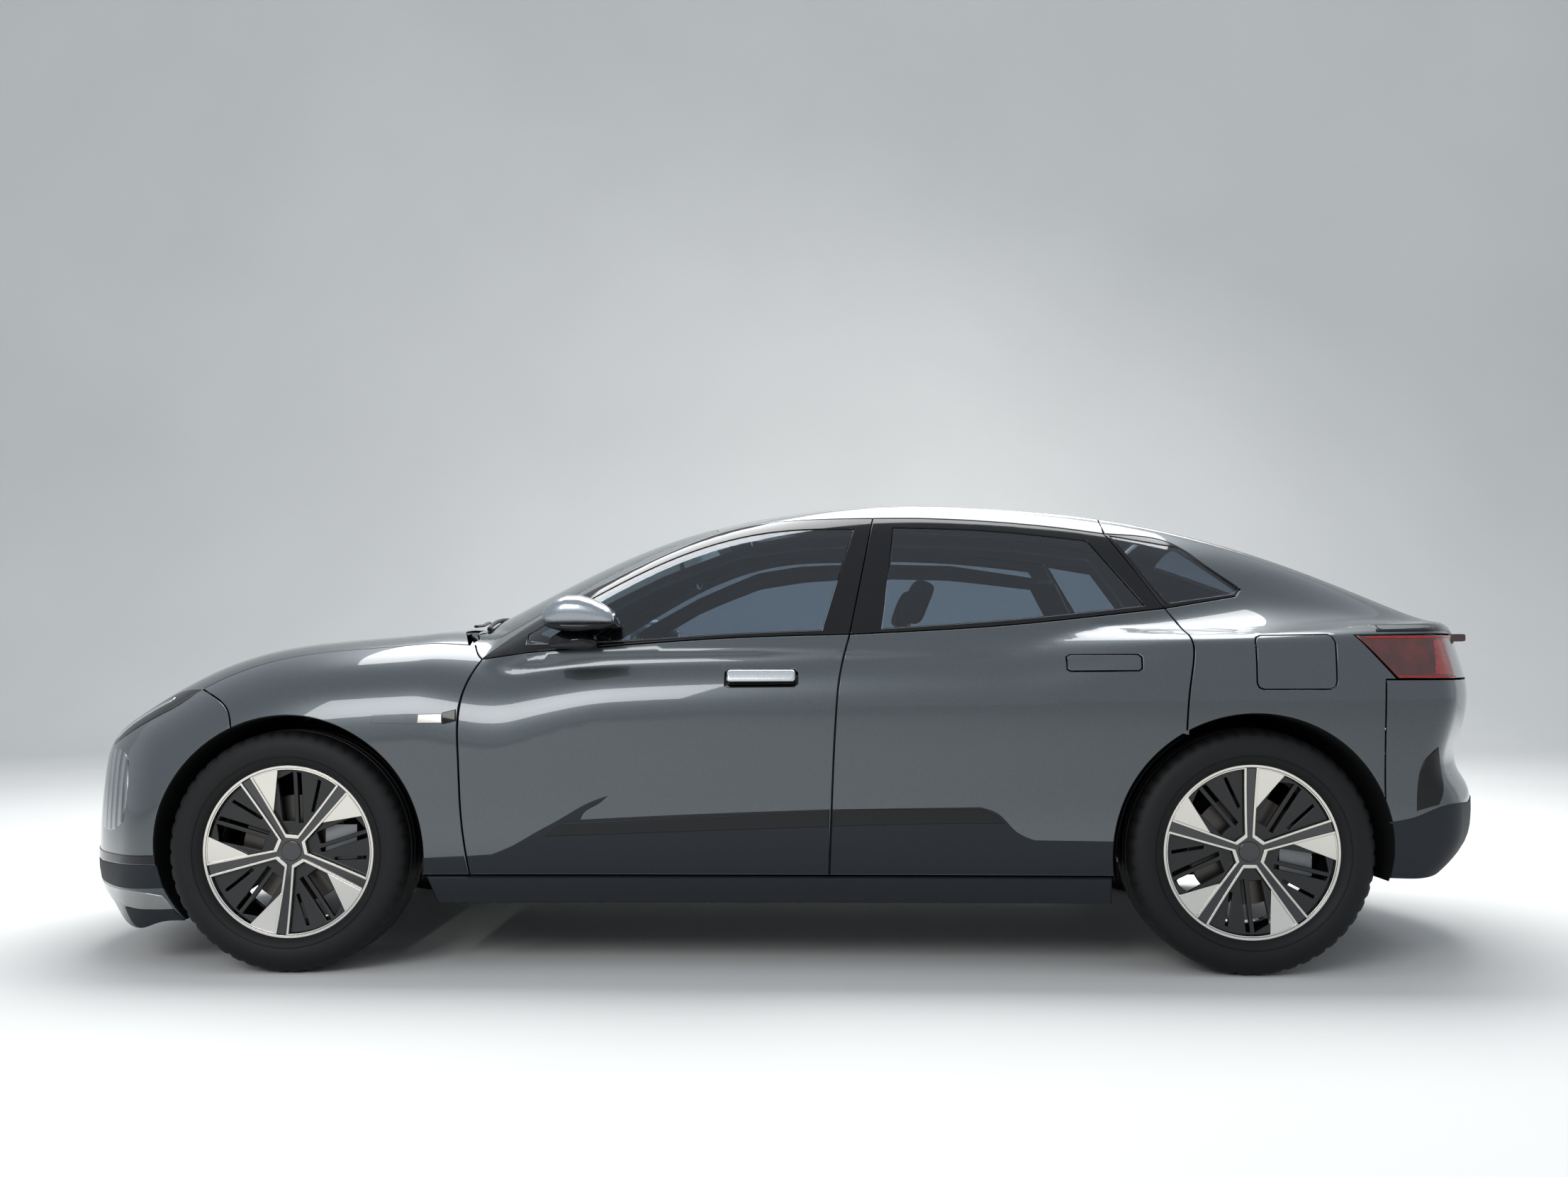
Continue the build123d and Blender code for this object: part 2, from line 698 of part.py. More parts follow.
def roof_panel():
    panel = slab(upper, FROM_ABOVE, placed(roof_cover), roof_thickness, (44, 30))
    panel = panel & plan_prism(roof_outline)
    panel = panel - tailgate_swing(shut_gap) - block(tailgate_hinge_x, 3000, -900, 900, 900, 2200)
    header_x = tailgate_hinge_x - tailgate_edge_radius - 2 * shut_gap - header_beam_width
    beam = block(header_x, header_x + header_beam_width, -header_half_width, header_half_width,
                 tailgate_hinge_z - 30,
                 skin_z(upper, header_x + header_beam_width, header_half_width) - roof_thickness / 2)
    panel = panel + beam
    near = tailgate_lug_y + tailgate_lug_half + tailgate_bracket_gap
    far = near + bracket_thickness
    for side in (-1, 1):
        y0, y1 = sorted((side * near, side * far))
        panel = panel + block(header_x + header_beam_width / 2, tailgate_hinge_x + bracket_thickness, y0, y1,
                              tailgate_hinge_z - bracket_thickness, tailgate_hinge_z + bracket_thickness)
        p0, p1 = sorted((side * (tailgate_lug_y - tailgate_lug_half - tailgate_bracket_gap), side * far))
        panel = panel + across_cylinder(tailgate_hinge_x, tailgate_hinge_z, hinge_pin_diameter / 2, p0, p1)
    return tidy(panel)


def tailgate():
    cover = placed([(1330, -600, 1460), (1330, 600, 1460), (2440, -600, 690), (2440, 600, 690)])
    panel = slab(whole, FROM_BEHIND, cover, deep_panel_thickness, (26, 14))
    panel = panel & block(-3000, 3000, -tailgate_half_width, tailgate_half_width, tailgate_bottom, 3000)
    panel = panel & (block(tailgate_hinge_x, 4000, -900, 900, 0, 3000) + tailgate_swing(0))
    near = tailgate_lug_y + tailgate_lug_half
    far = near + 2 * tailgate_bracket_gap + bracket_thickness
    for side in (-1, 1):
        y0, y1 = sorted((side * (tailgate_lug_y - tailgate_lug_half), side * near))
        end_x = tailgate_hinge_x + tailgate_lug_length
        lug = block(tailgate_hinge_x - lug_half_height, end_x, y0, y1, tailgate_hinge_z - lug_half_height,
                    skin_z(upper, end_x, tailgate_lug_y) - panel_thickness / 2)
        b0, b1 = sorted((side * (tailgate_lug_y - 2 * tailgate_lug_half), side * (near + 1)))
        bore = across_cylinder(tailgate_hinge_x, tailgate_hinge_z, hinge_pin_diameter / 2 + pin_play, b0, b1)
        panel = panel + lug - bore
        s0, s1 = sorted((side * near, side * far))
        panel = panel - block(0, tailgate_hinge_x + 20, s0, s1, tailgate_hinge_z - 30, 2000)
    return tidy(panel - light_bar())


def light_bar():
    cover = placed([(1900, -600, 1200), (1900, 600, 1200), (2440, -600, 690), (2440, 600, 690)])
    bar = slab(whole, FROM_BEHIND, cover, light_bar_depth, (20, 14), -light_bar_proud)
    return tidy(bar & block(0, 3000, -tailgate_half_width + 1, tailgate_half_width - 1,
                            light_bar_low, light_bar_high))


# ---------------------------------------------------------------- fixed outer panels, left side
fender_outline = polygon((-1890, 1100), (-1890, 897), (-1803, 868), (-1737, 822), (-1700, 700),
                         (-1540, 400), (-1400, 308), (-900, 308), (-900, 950), (-955, 990),
                         (-985, 1030), (-1008, 1100))
bumper_outline = polygon((-2600, 1000), (-1890.5, 1000), (-1890.5, 896.6), (-1803, 867.5), (-1737, 821.5),
                         (-1700, 700), (-1540, 400), (-1900, 150), (-1998, 140), (-2072, 118),
                         (-2190, 186), (-2600, 240))
headlamp_outline = polygon((-2600, 560), (-2330, 690), (-2200, 712), (-1960, 830), (-1868, 888),
                           (-1960, 940), (-2600, 940))
lamp_tower_outline = polygon((-2600, 690), (-2190, 700), (-2110, 560), (-2140, 430), (-2600, 430))
tail_plan = [(2360 - tail_curve(y), -y) for y in (1100, 950, 800, 600, 300, 0)]
quarter_outline = polygon((1084.5, 1700), (1084.5, 1300), (1240, 1060), (1240, 700), (1459, 400), (1700, 560),
                          (1852, 600), (1855, 914), (1890, 914), (1767, 1050), (2330, 1056), (2330, 1700))
rear_bumper_outline = polygon((1855.5, 914), (2600, 914), (2600, 352), (2230, 346), (2018, 300),
                              (1780, 262), (1459, 400), (1700, 560), (1852.5, 600))
lamp_outline = polygon((1768, 1049.5), (1891, 914.5), (2600, 914.5), (2600, 1055.5))


def front_arch(radius, y0=-1300, y1=-300):
    return across_cylinder(front_axle, axle_height, radius, y0, y1)


def rear_arch(radius, y0=-1300, y1=-300):
    return across_cylinder(rear_axle, axle_height, radius, y0, y1)


def front_fender():
    cover = placed([(-1930, -960, 480), (-1930, -700, 960), (-880, -900, 240), (-880, -740, 1060)])
    panel = slab(lower, FROM_SHOULDER, cover, wing_thickness, (26, 20))
    panel = panel & side_prism(fender_outline, -1200, -500)
    panel = panel - front_arch(arch_radius) - plan_prism(bonnet_outline(shut_gap, bonnet_rear_gap))
    panel = panel - side_prism(front_door_outline(shut_gap), -1200, -500)
    panel = panel - swing_round(front_radii, front_hinge_x, shut_gap)
    behind = block(front_hinge_x, 3000, -1200, -500, 0, float(pz(940)))
    panel = panel - behind - bonnet_lug_slots()[0]
    return max(panel.solids(), key=lambda solid: solid.volume)


def nose_slab(depth, sink=0.0):
    cover = placed([(-2430, 60, 100), (-2430, 60, 770), (-1640, -1010, 100), (-1640, -1010, 900)])
    return slab(lower, FROM_NOSE, cover, depth, (24, 14), sink)


def front_bumper_half():
    panel = nose_slab(deep_panel_thickness) & side_prism(bumper_outline, -1300, 0)
    panel = panel - front_arch(arch_radius) - plan_prism(bonnet_outline(shut_gap, bonnet_rear_gap))
    panel = panel - headlamp_half(0.5) - lamp_tower_half(0.5)
    return panel


def headlamp_half(grow=0.0):
    room = block(-3000, 0, -1010 - grow, -lamp_inner_y + grow, 0, 1400)
    return nose_slab(lamp_depth + grow, -grow) & side_prism(headlamp_outline, -1300, 0) & room


def lamp_tower_half(grow=0.0):
    room = block(-3000, 0, -880 - grow, -lamp_inner_y - 60 + grow, 0, 1400)
    return nose_slab(lamp_depth + grow, -grow) & side_prism(lamp_tower_outline, -1300, 0) & room


def rear_quarter():
    cover = placed([(1030, -1010, 300), (1000, -560, 1450), (2340, -1010, 500), (2340, -540, 1120)])
    panel = slab(whole_open, FROM_SHOULDER, cover, deep_panel_thickness, (30, 26))
    panel = panel & side_prism(quarter_outline, -1300, -300)
    panel = panel - rear_arch(arch_radius)
    panel = panel - side_prism(rear_door_outline(shut_gap, frame_swing_gap), -1300, -300)
    panel = panel - plan_prism(roof_outline)
    panel = panel - block(tailgate_hinge_x - tailgate_edge_radius - shut_gap, 4000,
                          -tailgate_half_width - shut_gap, 0, 0, 3000)
    panel = panel - side_prism(quarter_window, -1300, -300)
    return tidy(panel & plan_prism([tail_plan, [(2320, 0), (0, 0)], [(0, 0), (0, -1100)]]))


def tail_slab(depth, sink=0.0):
    cover = placed([(2430, 60, 240), (2430, 60, 1060), (1700, -1010, 240), (1700, -1010, 1060)])
    return slab(whole, FROM_TAIL, cover, depth, (22, 14), sink)


def rear_bumper_half():
    panel = tail_slab(deep_panel_thickness) & side_prism(rear_bumper_outline, -1300, 0)
    panel = panel - rear_arch(arch_radius)
    under_gate = block(0, 4000, -tailgate_half_width - shut_gap, 100, tailgate_bottom - shut_gap, 2000)
    return panel - under_gate


def tail_lamp_half():
    lamp = tail_slab(lamp_depth) & side_prism(lamp_outline, -1300, 0)
    return lamp & block(0, 4000, -1300, -tailgate_half_width - shut_gap, 0, 2000)


def joined_halves(half):
    """Left half and its mirror image, joined in the middle plane."""
    half = half & block(-4000, 4000, -2000, 0, -100, 3000)
    return tidy(half + mirrored(half))


def quarter_glass():
    cover = placed([(1030, -900, 1100), (1030, -560, 1450), (1550, -900, 1100), (1550, -560, 1420)])
    sheet = slab(whole_open, FROM_SHOULDER, cover, glass_thickness, (20, 16), glass_sink)
    pane = sheet & side_prism(quarter_window, -1300, -300) & block(1085, 2000, -1300, 0, 0, 2000)
    return tidy(pane - side_prism(rear_door_outline(shut_gap, frame_swing_gap), -1300, -300))


# ---------------------------------------------------------------- body structure
def side_frame():
    """Windscreen pillar, roof rail, middle pillar, sill and hinge arms of the left side."""
    cover = placed([(-1000, -900, 1000), (-1000, -540, 1480), (1120, -900, 1000), (1120, -540, 1480)])
    rail = slab(upper, FROM_SHOULDER, cover, pillar_depth, (26, 16))
    rail = rail & side_prism(polygon((-955, 900), (1084, 900), (1084, 1700), (-955, 1700)), -1300, -200)
    rail = rail - plan_prism(roof_outline) - plan_prism(screen_outline)
    rail = rail - side_prism(front_door_outline(shut_gap), -1300, -300)
    rail = rail - side_prism(rear_door_outline(shut_gap, frame_swing_gap), -1300, -300) - bonnet_lug_slots()[0]
    post_y = -door_inner_y + shut_gap
    post_top = float(pz(975))
    foot = block(rear_hinge_x - 70, rear_hinge_x + 75, post_y, post_y + pillar_depth,
                 sill_top - 4, float(pz(1098)))
    pillar_outline = polygon((172, 1078), (340, 1078), (372, 1470), (262, 1470))
    pillar = slab(upper, FROM_SHOULDER, cover, 46, (26, 16), (door_frame_thickness + shut_gap) * 1.1)
    pillar = pillar & side_prism(pillar_outline, -1300, -200)
    post = block(front_hinge_x - 30, front_hinge_x + 60, post_y, post_y + pillar_depth,
                 sill_top - 4, post_top)
    sill = block(front_axle + arch_radius + 20, rear_axle - arch_radius - 20, -898, post_y + pillar_depth,
                 ground_clearance + 30, sill_top)
    bonnet_bracket = block(bonnet_hinge_x - 20, bonnet_hinge_x + 20, post_y + pillar_depth,
                           post_y + pillar_depth + 18, post_top - 80, bonnet_hinge_z + 16)
    bonnet_pin = across_cylinder(bonnet_hinge_x, bonnet_hinge_z, hinge_pin_diameter / 2,
                                 post_y + pillar_depth, -bonnet_lug_y + 4)
    frame = sill + foot + pillar + post + bonnet_bracket + bonnet_pin
    for arm in hinge_arms(front_hinge_x, post_y) + hinge_arms(rear_hinge_x, post_y):
        frame = frame + arm
    return tidy(frame + rail)


def cowl():
    """Black panel between the bonnet and the windscreen, resting on the bulkhead."""
    panel = slab(lower_open, FROM_ABOVE, placed(hood_cover), 44, (22, 18), 10)
    between = both_sides([[(x + 3, y) for x, y in screen_base], [(-982, -735), (-962, -790)],
                          [(x + bonnet_rear_gap, y) for x, y in bonnet_rear[::-1]]])
    panel = panel & plan_prism(between) & block(-3000, 0, -cowl_half_width, cowl_half_width, 0, 2000)
    return tidy(panel - bulkhead())


def bulkhead():
    """Upright wall between the bonnet bay and the cabin."""
    front = float(px(bulkhead_x))
    wide = door_inner_y - shut_gap - pillar_depth
    lower_part = block(front, front + floor_thickness, -wide, wide, floor_top, float(pz(980)))
    return lower_part + block(front, front + floor_thickness, -cowl_half_width + 4, cowl_half_width - 4,
                              floor_top, float(pz(1022)))


def wheel_liner(axle_x, neighbours):
    """Arched liner above a left wheel, trimmed to the panels that it meets."""
    ring = across_cylinder(axle_x, axle_height, arch_radius + liner_thickness, -1020, -liner_inner_y)
    ring = ring - across_cylinder(axle_x, axle_height, arch_radius, -1030, -liner_inner_y + 1)
    ring = ring & block(axle_x - 600, axle_x + 600, -1020, 0, 306, 1200)
    for neighbour in neighbours:
        ring = ring - neighbour
    return max(ring.solids(), key=lambda solid: solid.volume)


def floor_pan():
    """Cabin floor, bulkhead and the raised boot floor behind."""
    front = float(px(bulkhead_x))
    step_x = float(px(boot_step_x))
    rear_x = rear_axle + rear_rail_reach
    wide = door_inner_y - shut_gap - pillar_depth
    pan = block(front, step_x, -wide, wide, floor_top, floor_top + floor_thickness)
    pan += bulkhead()
    pan += block(step_x, step_x + floor_thickness, -wide, wide, floor_top, boot_floor + floor_thickness)
    pan += block(step_x, rear_x, -boot_half_width, boot_half_width, boot_floor, boot_floor + floor_thickness)
    pan += block(rear_x - floor_thickness, rear_x, -boot_half_width, boot_half_width,
                 floor_top, boot_floor + floor_thickness)
    room = arch_radius + liner_thickness + shut_gap
    inner = liner_inner_y - shut_gap
    return pan - front_arch(room, -1300, -inner) - front_arch(room, inner, 1300)


def battery_pack():
    """One closed tray under the cabin floor."""
    return block(float(px(-960)), float(px(900)), -battery_half_width, battery_half_width,
                 floor_top - battery_thickness, floor_top)


def front_structure():
    """Crash rails, strut towers, beam and cradle ahead of the bulkhead."""
    front = float(px(bulkhead_x))
    nose = float(px(front_beam_x))
    frame = block(nose - crash_beam_depth, nose, -crash_beam_half, crash_beam_half,
                  front_rail_low - beam_overlap, front_rail_high + beam_overlap)
    for side in (-1, 1):
        y0, y1 = sorted((side * crash_rail_inner_y, side * arm_inner_y))
        frame += block(nose, front, y0, y1, front_rail_low, front_rail_high)
        frame += block(front_axle - tower_half_length, front_axle + tower_half_length, y0, y1,
                       front_rail_low, front_tower_top)
    cradle_start = front_axle - cradle_reach
    cradle_end = front_axle + front_cradle_rear
    frame += block(cradle_start, cradle_end, -arm_inner_y, arm_inner_y, cradle_low, cradle_high)
    for x0 in (cradle_start, cradle_end - cradle_leg):
        frame += block(x0, x0 + cradle_leg, -arm_inner_y, arm_inner_y, cradle_low, front_rail_low + 2)
    return frame


def rear_structure():
    """Rear crash rails, strut towers, beam and cradle under the boot floor."""
    beam_x = rear_axle + rear_rail_reach + rear_beam_reach
    rail_low = boot_floor - rear_rail_height
    frame = block(beam_x - crash_beam_depth, beam_x, -crash_beam_half, crash_beam_half,
                  rail_low, boot_floor + rear_beam_lip)
    for side in (-1, 1):
        y0, y1 = sorted((side * boot_half_width, side * arm_inner_y))
        frame += block(float(px(boot_step_x)) + floor_thickness, beam_x, y0, y1, rail_low, boot_floor)
        frame += block(rear_axle - tower_half_length, rear_axle + tower_half_length, y0, y1,
                       rail_low, arm_top_z + rear_tower_rise)
    frame += block(rear_axle - cradle_reach, rear_axle + cradle_reach, -arm_inner_y, arm_inner_y,
                   cradle_low, cradle_high)
    for x0 in (rear_axle - cradle_reach, rear_axle + cradle_reach - cradle_leg):
        frame += block(x0, x0 + cradle_leg, -arm_inner_y, arm_inner_y, cradle_low, rail_low)
    return frame


def drive_unit(axle_x):
    """Motor and gearbox on the cradle, one block."""
    return block(axle_x - drive_half_length, axle_x + drive_half_length, -drive_half_width, drive_half_width,
                 cradle_high, boot_floor - rear_rail_height)


def suspension_arms(axle_x, steered):
    """Left lower and upper arms, from the cradle and strut tower to the wheel carrier."""
    parts = []
    pin_reach = 22
    for low, inner_y, pin_low, pin_high in (
            (arm_low_z, arm_inner_y - 40, arm_low_z, carrier_low + pin_reach),
            (arm_top_z - arm_thickness, arm_inner_y, carrier_high - pin_reach, arm_top_z)):
        arm = block(axle_x - arm_half_width, axle_x + arm_half_width, -kingpin_y - arm_end, -inner_y,
                    low, low + arm_thickness)
        if steered:
            arm = arm + upright_cylinder(axle_x, -kingpin_y, ball_pin_radius, pin_low, pin_high)
        parts.append(arm)
    return parts


def carrier(axle_x, steered):
    """Left wheel carrier with its brake caliper, and the bore for the hub shaft."""
    gap = 0 if steered else ball_gap
    body = block(axle_x - carrier_half_length, axle_x + carrier_half_length, -hub_inner_y, -kingpin_y + 40,
                 carrier_low - gap, carrier_high + gap)
    body = body + across_cylinder(axle_x, axle_height, carrier_hub_radius, -hub_inner_y, -kingpin_y + 50)
    bracket = block(axle_x, axle_x + 160, -hub_inner_y, -hub_inner_y + 14, axle_height - 50, axle_height + 50)
    caliper = block(axle_x + caliper_reach[0], axle_x + caliper_reach[1], -hub_face_y - 22, -hub_inner_y + 14,
                    axle_height - caliper_half_height, axle_height + caliper_half_height)
    slot = across_cylinder(axle_x, axle_height, disc_diameter / 2 + 6, -hub_face_y - 5, -hub_inner_y)
    body = body + bracket + (caliper - slot)
    body = body - across_cylinder(axle_x, axle_height, hub_shaft_radius + pin_play, -hub_face_y, 0)
    if steered:
        for z0, z1 in ((carrier_low - 1, carrier_low + 30), (carrier_high - 30, carrier_high + 1)):
            body = body - upright_cylinder(axle_x, -kingpin_y, ball_pin_radius + pin_play, z0, z1)
    return tidy(body)


def brake_disc(axle_x):
    """Brake disc with its hub shaft."""
    disc = across_cylinder(axle_x, axle_height, disc_diameter / 2, -hub_face_y, -hub_face_y + disc_thickness)
    bell = across_cylinder(axle_x, axle_height, disc_bell_radius, -hub_face_y, -hub_inner_y - ball_gap)
    shaft = across_cylinder(axle_x, axle_height, hub_shaft_radius, -hub_face_y, -kingpin_y + 44)
    return disc + bell + shaft


# ---------------------------------------------------------------- wheels
def wheel(axle_x):
    """Rim barrel with five double spokes and a hub that bolts to the brake disc."""
    outer = -(tyre_outer_y - rim_flange_inset)
    inner = -(tyre_outer_y - tyre_width + rim_flange_inset)
    flange = rim_diameter / 2
    seat = bead_radius
    profile = [(flange, outer), (flange, outer + 12), (seat, outer + 18), (seat - 14, outer + 70),
               (seat - 14, inner - 40), (seat, inner - 14), (flange, inner - 10), (flange, inner),
               (flange - 10, inner), (seat - 12, inner - 16), (seat - 26, inner - 44),
               (seat - 26, outer + 66), (seat - 12, outer + 16), (flange - 12, outer)]
    points = [Vector(axle_x + r, y, axle_height) for r, y in profile]
    barrel = revolve(make_face(Polyline(*points, close=True)), Axis((axle_x, 0, axle_height), (0, 1, 0)), 360)
    spokes = across_cylinder(axle_x, axle_height, wheel_hub_radius, spoke_face_y, -hub_face_y)
    for i in range(5):
        angle = spoke_start + 72 * i
        spoke = block(0, seat - 18, spoke_face_y, spoke_face_y + spoke_depth,
                      -spoke_half_width, spoke_half_width)
        blade = block(spoke_blade_start, seat - 18, spoke_face_y + 8, spoke_face_y + spoke_depth,
                      -spoke_blade_width, -spoke_half_width)
        blade = blade & across_cylinder(0, 0, seat - 18, -1200, 0)
        spokes = spokes + Pos(axle_x, 0, axle_height) * Rot(0, -angle, 0) * (spoke + blade)
    body = barrel + spokes
    for i in range(5):
        a = np.radians(spoke_start + 36 + 72 * i)
        x = axle_x + wheel_bolt_pitch / 2 * np.cos(a)
        z = axle_height + wheel_bolt_pitch / 2 * np.sin(a)
        body = body - across_cylinder(x, z, wheel_bolt_radius, -1000, -hub_face_y + 1)
    return tidy(body)


def tyre(axle_x):
    outer = -tyre_outer_y
    inner = -(tyre_outer_y - tyre_width)
    r = tyre_radius
    wall = rim_diameter / 2 + 2
    profile = [(bead_radius, outer + 31), (wall, outer + 25), (wall + 6, outer + 6), (wall + 40, outer),
               (r - 30, outer + 6), (r - 8, outer + 22), (r, outer + 44), (r, inner - 44),
               (r - 8, inner - 22), (r - 30, inner - 6), (wall + 40, inner), (wall + 6, inner - 6),
               (wall, inner - 24), (bead_radius, inner - 27)]
    points = [Vector(axle_x + a, b, axle_height) for a, b in profile]
    return revolve(make_face(Polyline(*points, close=True)), Axis((axle_x, 0, axle_height), (0, 1, 0)), 360)


# ---------------------------------------------------------------- cabin
def dashboard():
    front = bulkhead_x + floor_thickness
    runs = [[(front, dashboard_low), (front, 965)], [(front, 965), (-880, 985), (-700, 950), (-640, 880)],
            [(-640, 880), (-660, 760), (-760, dashboard_low)], [(-760, dashboard_low), (front, dashboard_low)]]
    board = side_prism(runs, -dashboard_half_width, dashboard_half_width)
    x, y, z = steering_centre
    room = Pos(0, 0, -column_start) * Cylinder(column_radius, 400)
    return tidy(board - Pos(x, y, z) * Rot(0, 90 - steering_tilt, 0) * Pos(0, 0, -200) * room)


def steering_wheel():
    """Rim, hub, three spokes and the shaft that turns in the column."""
    x, y, z = steering_centre
    rim = Torus(steering_wheel_diameter / 2 - steering_rim_radius, steering_rim_radius)
    hub = Cylinder(steering_hub_radius, 44)
    spokes = Box(steering_wheel_diameter - 34, 34, 16)
    foot = Pos(-70, 0, 0) * Box(150, 40, 16)
    shaft = Pos(0, 0, -column_start / 2 - 60) * Cylinder(steering_shaft_radius, column_start + 120)
    whole_wheel = rim + hub + (Rot(0, 0, 90) * spokes) + foot + shaft
    return Pos(x, y, z) * Rot(0, 90 - steering_tilt, 0) * whole_wheel


def column_housing():
    """Tube in the dashboard that carries the steering shaft."""
    x, y, z = steering_centre
    bore = Cylinder(steering_shaft_radius + pin_play, column_length + 1)
    tube = Pos(0, 0, -column_start - column_length / 2) * (Cylinder(column_radius, column_length) - bore)
    return Pos(x, y, z) * Rot(0, 90 - steering_tilt, 0) * tube


def seat(x, y, width, base_z, back_height):
    """Seat with cushion, back and head restraint; x is the front edge of its cushion."""
    cushion = Box(seat_cushion_length, width, seat_cushion_thickness)
    middle = Pos(x + seat_cushion_length / 2, y, base_z + seat_cushion_thickness / 2)
    chair = middle * Rot(0, seat_cushion_tilt, 0) * cushion
    foot = Pos(x + seat_back_start, y, base_z + 60) * Rot(0, seat_back_lean, 0)
    chair += foot * Pos(0, 0, back_height / 2) * Box(seat_back_thickness, width, back_height)
    head_z = back_height + head_rest_gap + head_rest_size[2] / 2
    chair += foot * Pos(-head_rest_ahead, 0, head_z) * Box(*head_rest_size)
    post = Cylinder(head_post_radius, head_rest_gap + 60)
    for post_y in (-head_post_y, head_post_y):
        chair += foot * Pos(0, post_y, back_height + head_rest_gap / 2) * post
    return chair


def front_seats():
    """Two chairs, each on a pair of floor rails."""
    pieces = []
    start, stop = seat_rail_ends
    for side in (-1, 1):
        chair = seat(float(px(front_seat_x)), side * seat_y, front_seat_width, seat_height, front_back_height)
        for inner in (-seat_rail_inner - seat_rail_width, seat_rail_inner):
            low_y = side * seat_y + inner
            chair += block(float(px(start)), float(px(stop)), low_y, low_y + seat_rail_width,
                           floor_top + floor_thickness, seat_height + 70)
        pieces.append(chair)
    return Compound(pieces)


def rear_seat():
    """Bench on a plinth, with three head restraints."""
    x = float(px(rear_seat_x))
    base_z = seat_height + rear_seat_raise
    bench = seat(x, 0, rear_bench_width, base_z, rear_back_height)
    for side in (-1, 1):
        bench += seat(x, side * rear_head_y, rear_head_width, base_z, rear_back_height)
    plinth = block(x + 60, x + 190, -rear_bench_width / 2 + 40, rear_bench_width / 2 - 40,
                   floor_top + floor_thickness, base_z + 30)
    return bench + plinth


def centre_console():
    return block(float(px(-640)), float(px(240)), -console_half_width, console_half_width,
                 floor_top + floor_thickness, console_height)


def door_mirror():
    """Left door mirror on its arm."""
    shell = Pos(*mirror_centre) * scale(Sphere(1), by=mirror_radii)
    arm = block(-690, -590, -960, -880, 1014, 1100)
    return shell + arm


# ---------------------------------------------------------------- all pieces
def build():
    """Every node of the car, by name."""
    nodes = {}
    left = {
        "door_front": front_door(),
        "door_rear": rear_door(),
        "front_fender": front_fender(),
        "rear_quarter": rear_quarter(),
        "side_frame": side_frame(),
    }
    glass_front = door_glass(front_window, float(px(-1010)), float(px(330)))
    glass_rear = door_glass(rear_window, float(px(140)), float(px(1290)))
    left["glass_front"] = glass_front
    left["glass_rear"] = glass_rear
    mirror = (door_mirror() - left["door_front"] - glass_front).solids()
    left["door_mirror"] = max(mirror, key=lambda solid: solid.volume)
    left["front_fender"] = tidy(left["front_fender"] - left["side_frame"])
    for name, shape in left.items():
        nodes[name + "_left"] = shape
        nodes[name + "_right"] = mirrored(shape)

    nodes["bonnet"] = bonnet()
    nodes["windscreen"] = windscreen()
    nodes["roof_panel"] = roof_panel()
    nodes["tailgate"] = tailgate()
    nodes["tail_light_bar"] = light_bar()
    cowl_panel = cowl() - nodes["windscreen"] - left["front_fender"] - nodes["front_fender_right"]
    for slot in bonnet_lug_slots():
        cowl_panel = cowl_panel - slot
    nodes["cowl"] = max(cowl_panel.solids(), key=lambda solid: solid.volume)
    front_bumper = joined_halves(front_bumper_half())
    rear_bumper = joined_halves(rear_bumper_half())
    nodes["front_bumper"] = front_bumper
    nodes["rear_bumper"] = rear_bumper
    lamps = solids_of(headlamp_half()) + solids_of(lamp_tower_half())
    over = bonnet_space()
    lamps = [max((lamp - over).solids(), key=lambda solid: solid.volume) for lamp in lamps]
    nodes["headlamps"] = Compound(lamps + [mirrored(lamp) for lamp in lamps])
    tail_lamp = tidy(tail_lamp_half())
    nodes["tail_lamps"] = Compound([tail_lamp, mirrored(tail_lamp)])
    pane = quarter_glass()
    nodes["quarter_glass"] = Compound([pane, mirrored(pane)])

    door_room = block(float(px(900)), float(px(1268)) + shut_gap, -1100, -door_inner_y + shut_gap, 200, 1200)
    front_liner = wheel_liner(front_axle, [left["front_fender"], front_bumper])
    rear_liner = wheel_liner(rear_axle, [left["rear_quarter"], rear_bumper, door_room])
    nodes["wheel_liners"] = Compound([front_liner, rear_liner, mirrored(front_liner), mirrored(rear_liner)])

    nodes["floor_pan"] = floor_pan()
    nodes["battery_pack"] = battery_pack()
    nodes["front_structure"] = front_structure()
    nodes["rear_structure"] = rear_structure()
    arms = suspension_arms(front_axle, True) + suspension_arms(rear_axle, False)
    nodes["suspension_arms"] = Compound(arms + [mirrored(arm) for arm in arms])
    rear_carrier = carrier(rear_axle, False)
    nodes["rear_hub_carriers"] = Compound([rear_carrier, mirrored(rear_carrier)])
    nodes["drive_units"] = Compound([drive_unit(front_axle), drive_unit(rear_axle)])

    nodes["dashboard"] = dashboard()
    nodes["steering_column"] = column_housing()
    nodes["steering_wheel"] = steering_wheel()
    nodes["front_seats"] = front_seats()
    nodes["rear_seat"] = rear_seat()
    nodes["centre_console"] = centre_console()

    steering_carrier = carrier(front_axle, True)
    nodes["front_knuckle_left"] = steering_carrier
    nodes["front_knuckle_right"] = mirrored(steering_carrier)
    for end, axle_x in (("front", front_axle), ("rear", rear_axle)):
        turning = (("wheel", wheel(axle_x)), ("tyre", tyre(axle_x)), ("brake_disc", brake_disc(axle_x)))
        for name, shape in turning:
            nodes[name + "_" + end + "_left"] = shape
            nodes[name + "_" + end + "_right"] = mirrored(shape)
    return nodes


if __name__ == "__main__":
    os.makedirs("parts", exist_ok=True)
    for name, shape in build().items():
        export_step(shape, "parts/" + name + ".step")
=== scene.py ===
import json
import math

import bpy
import numpy as np
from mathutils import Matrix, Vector
from mathutils.geometry import delaunay_2d_cdt

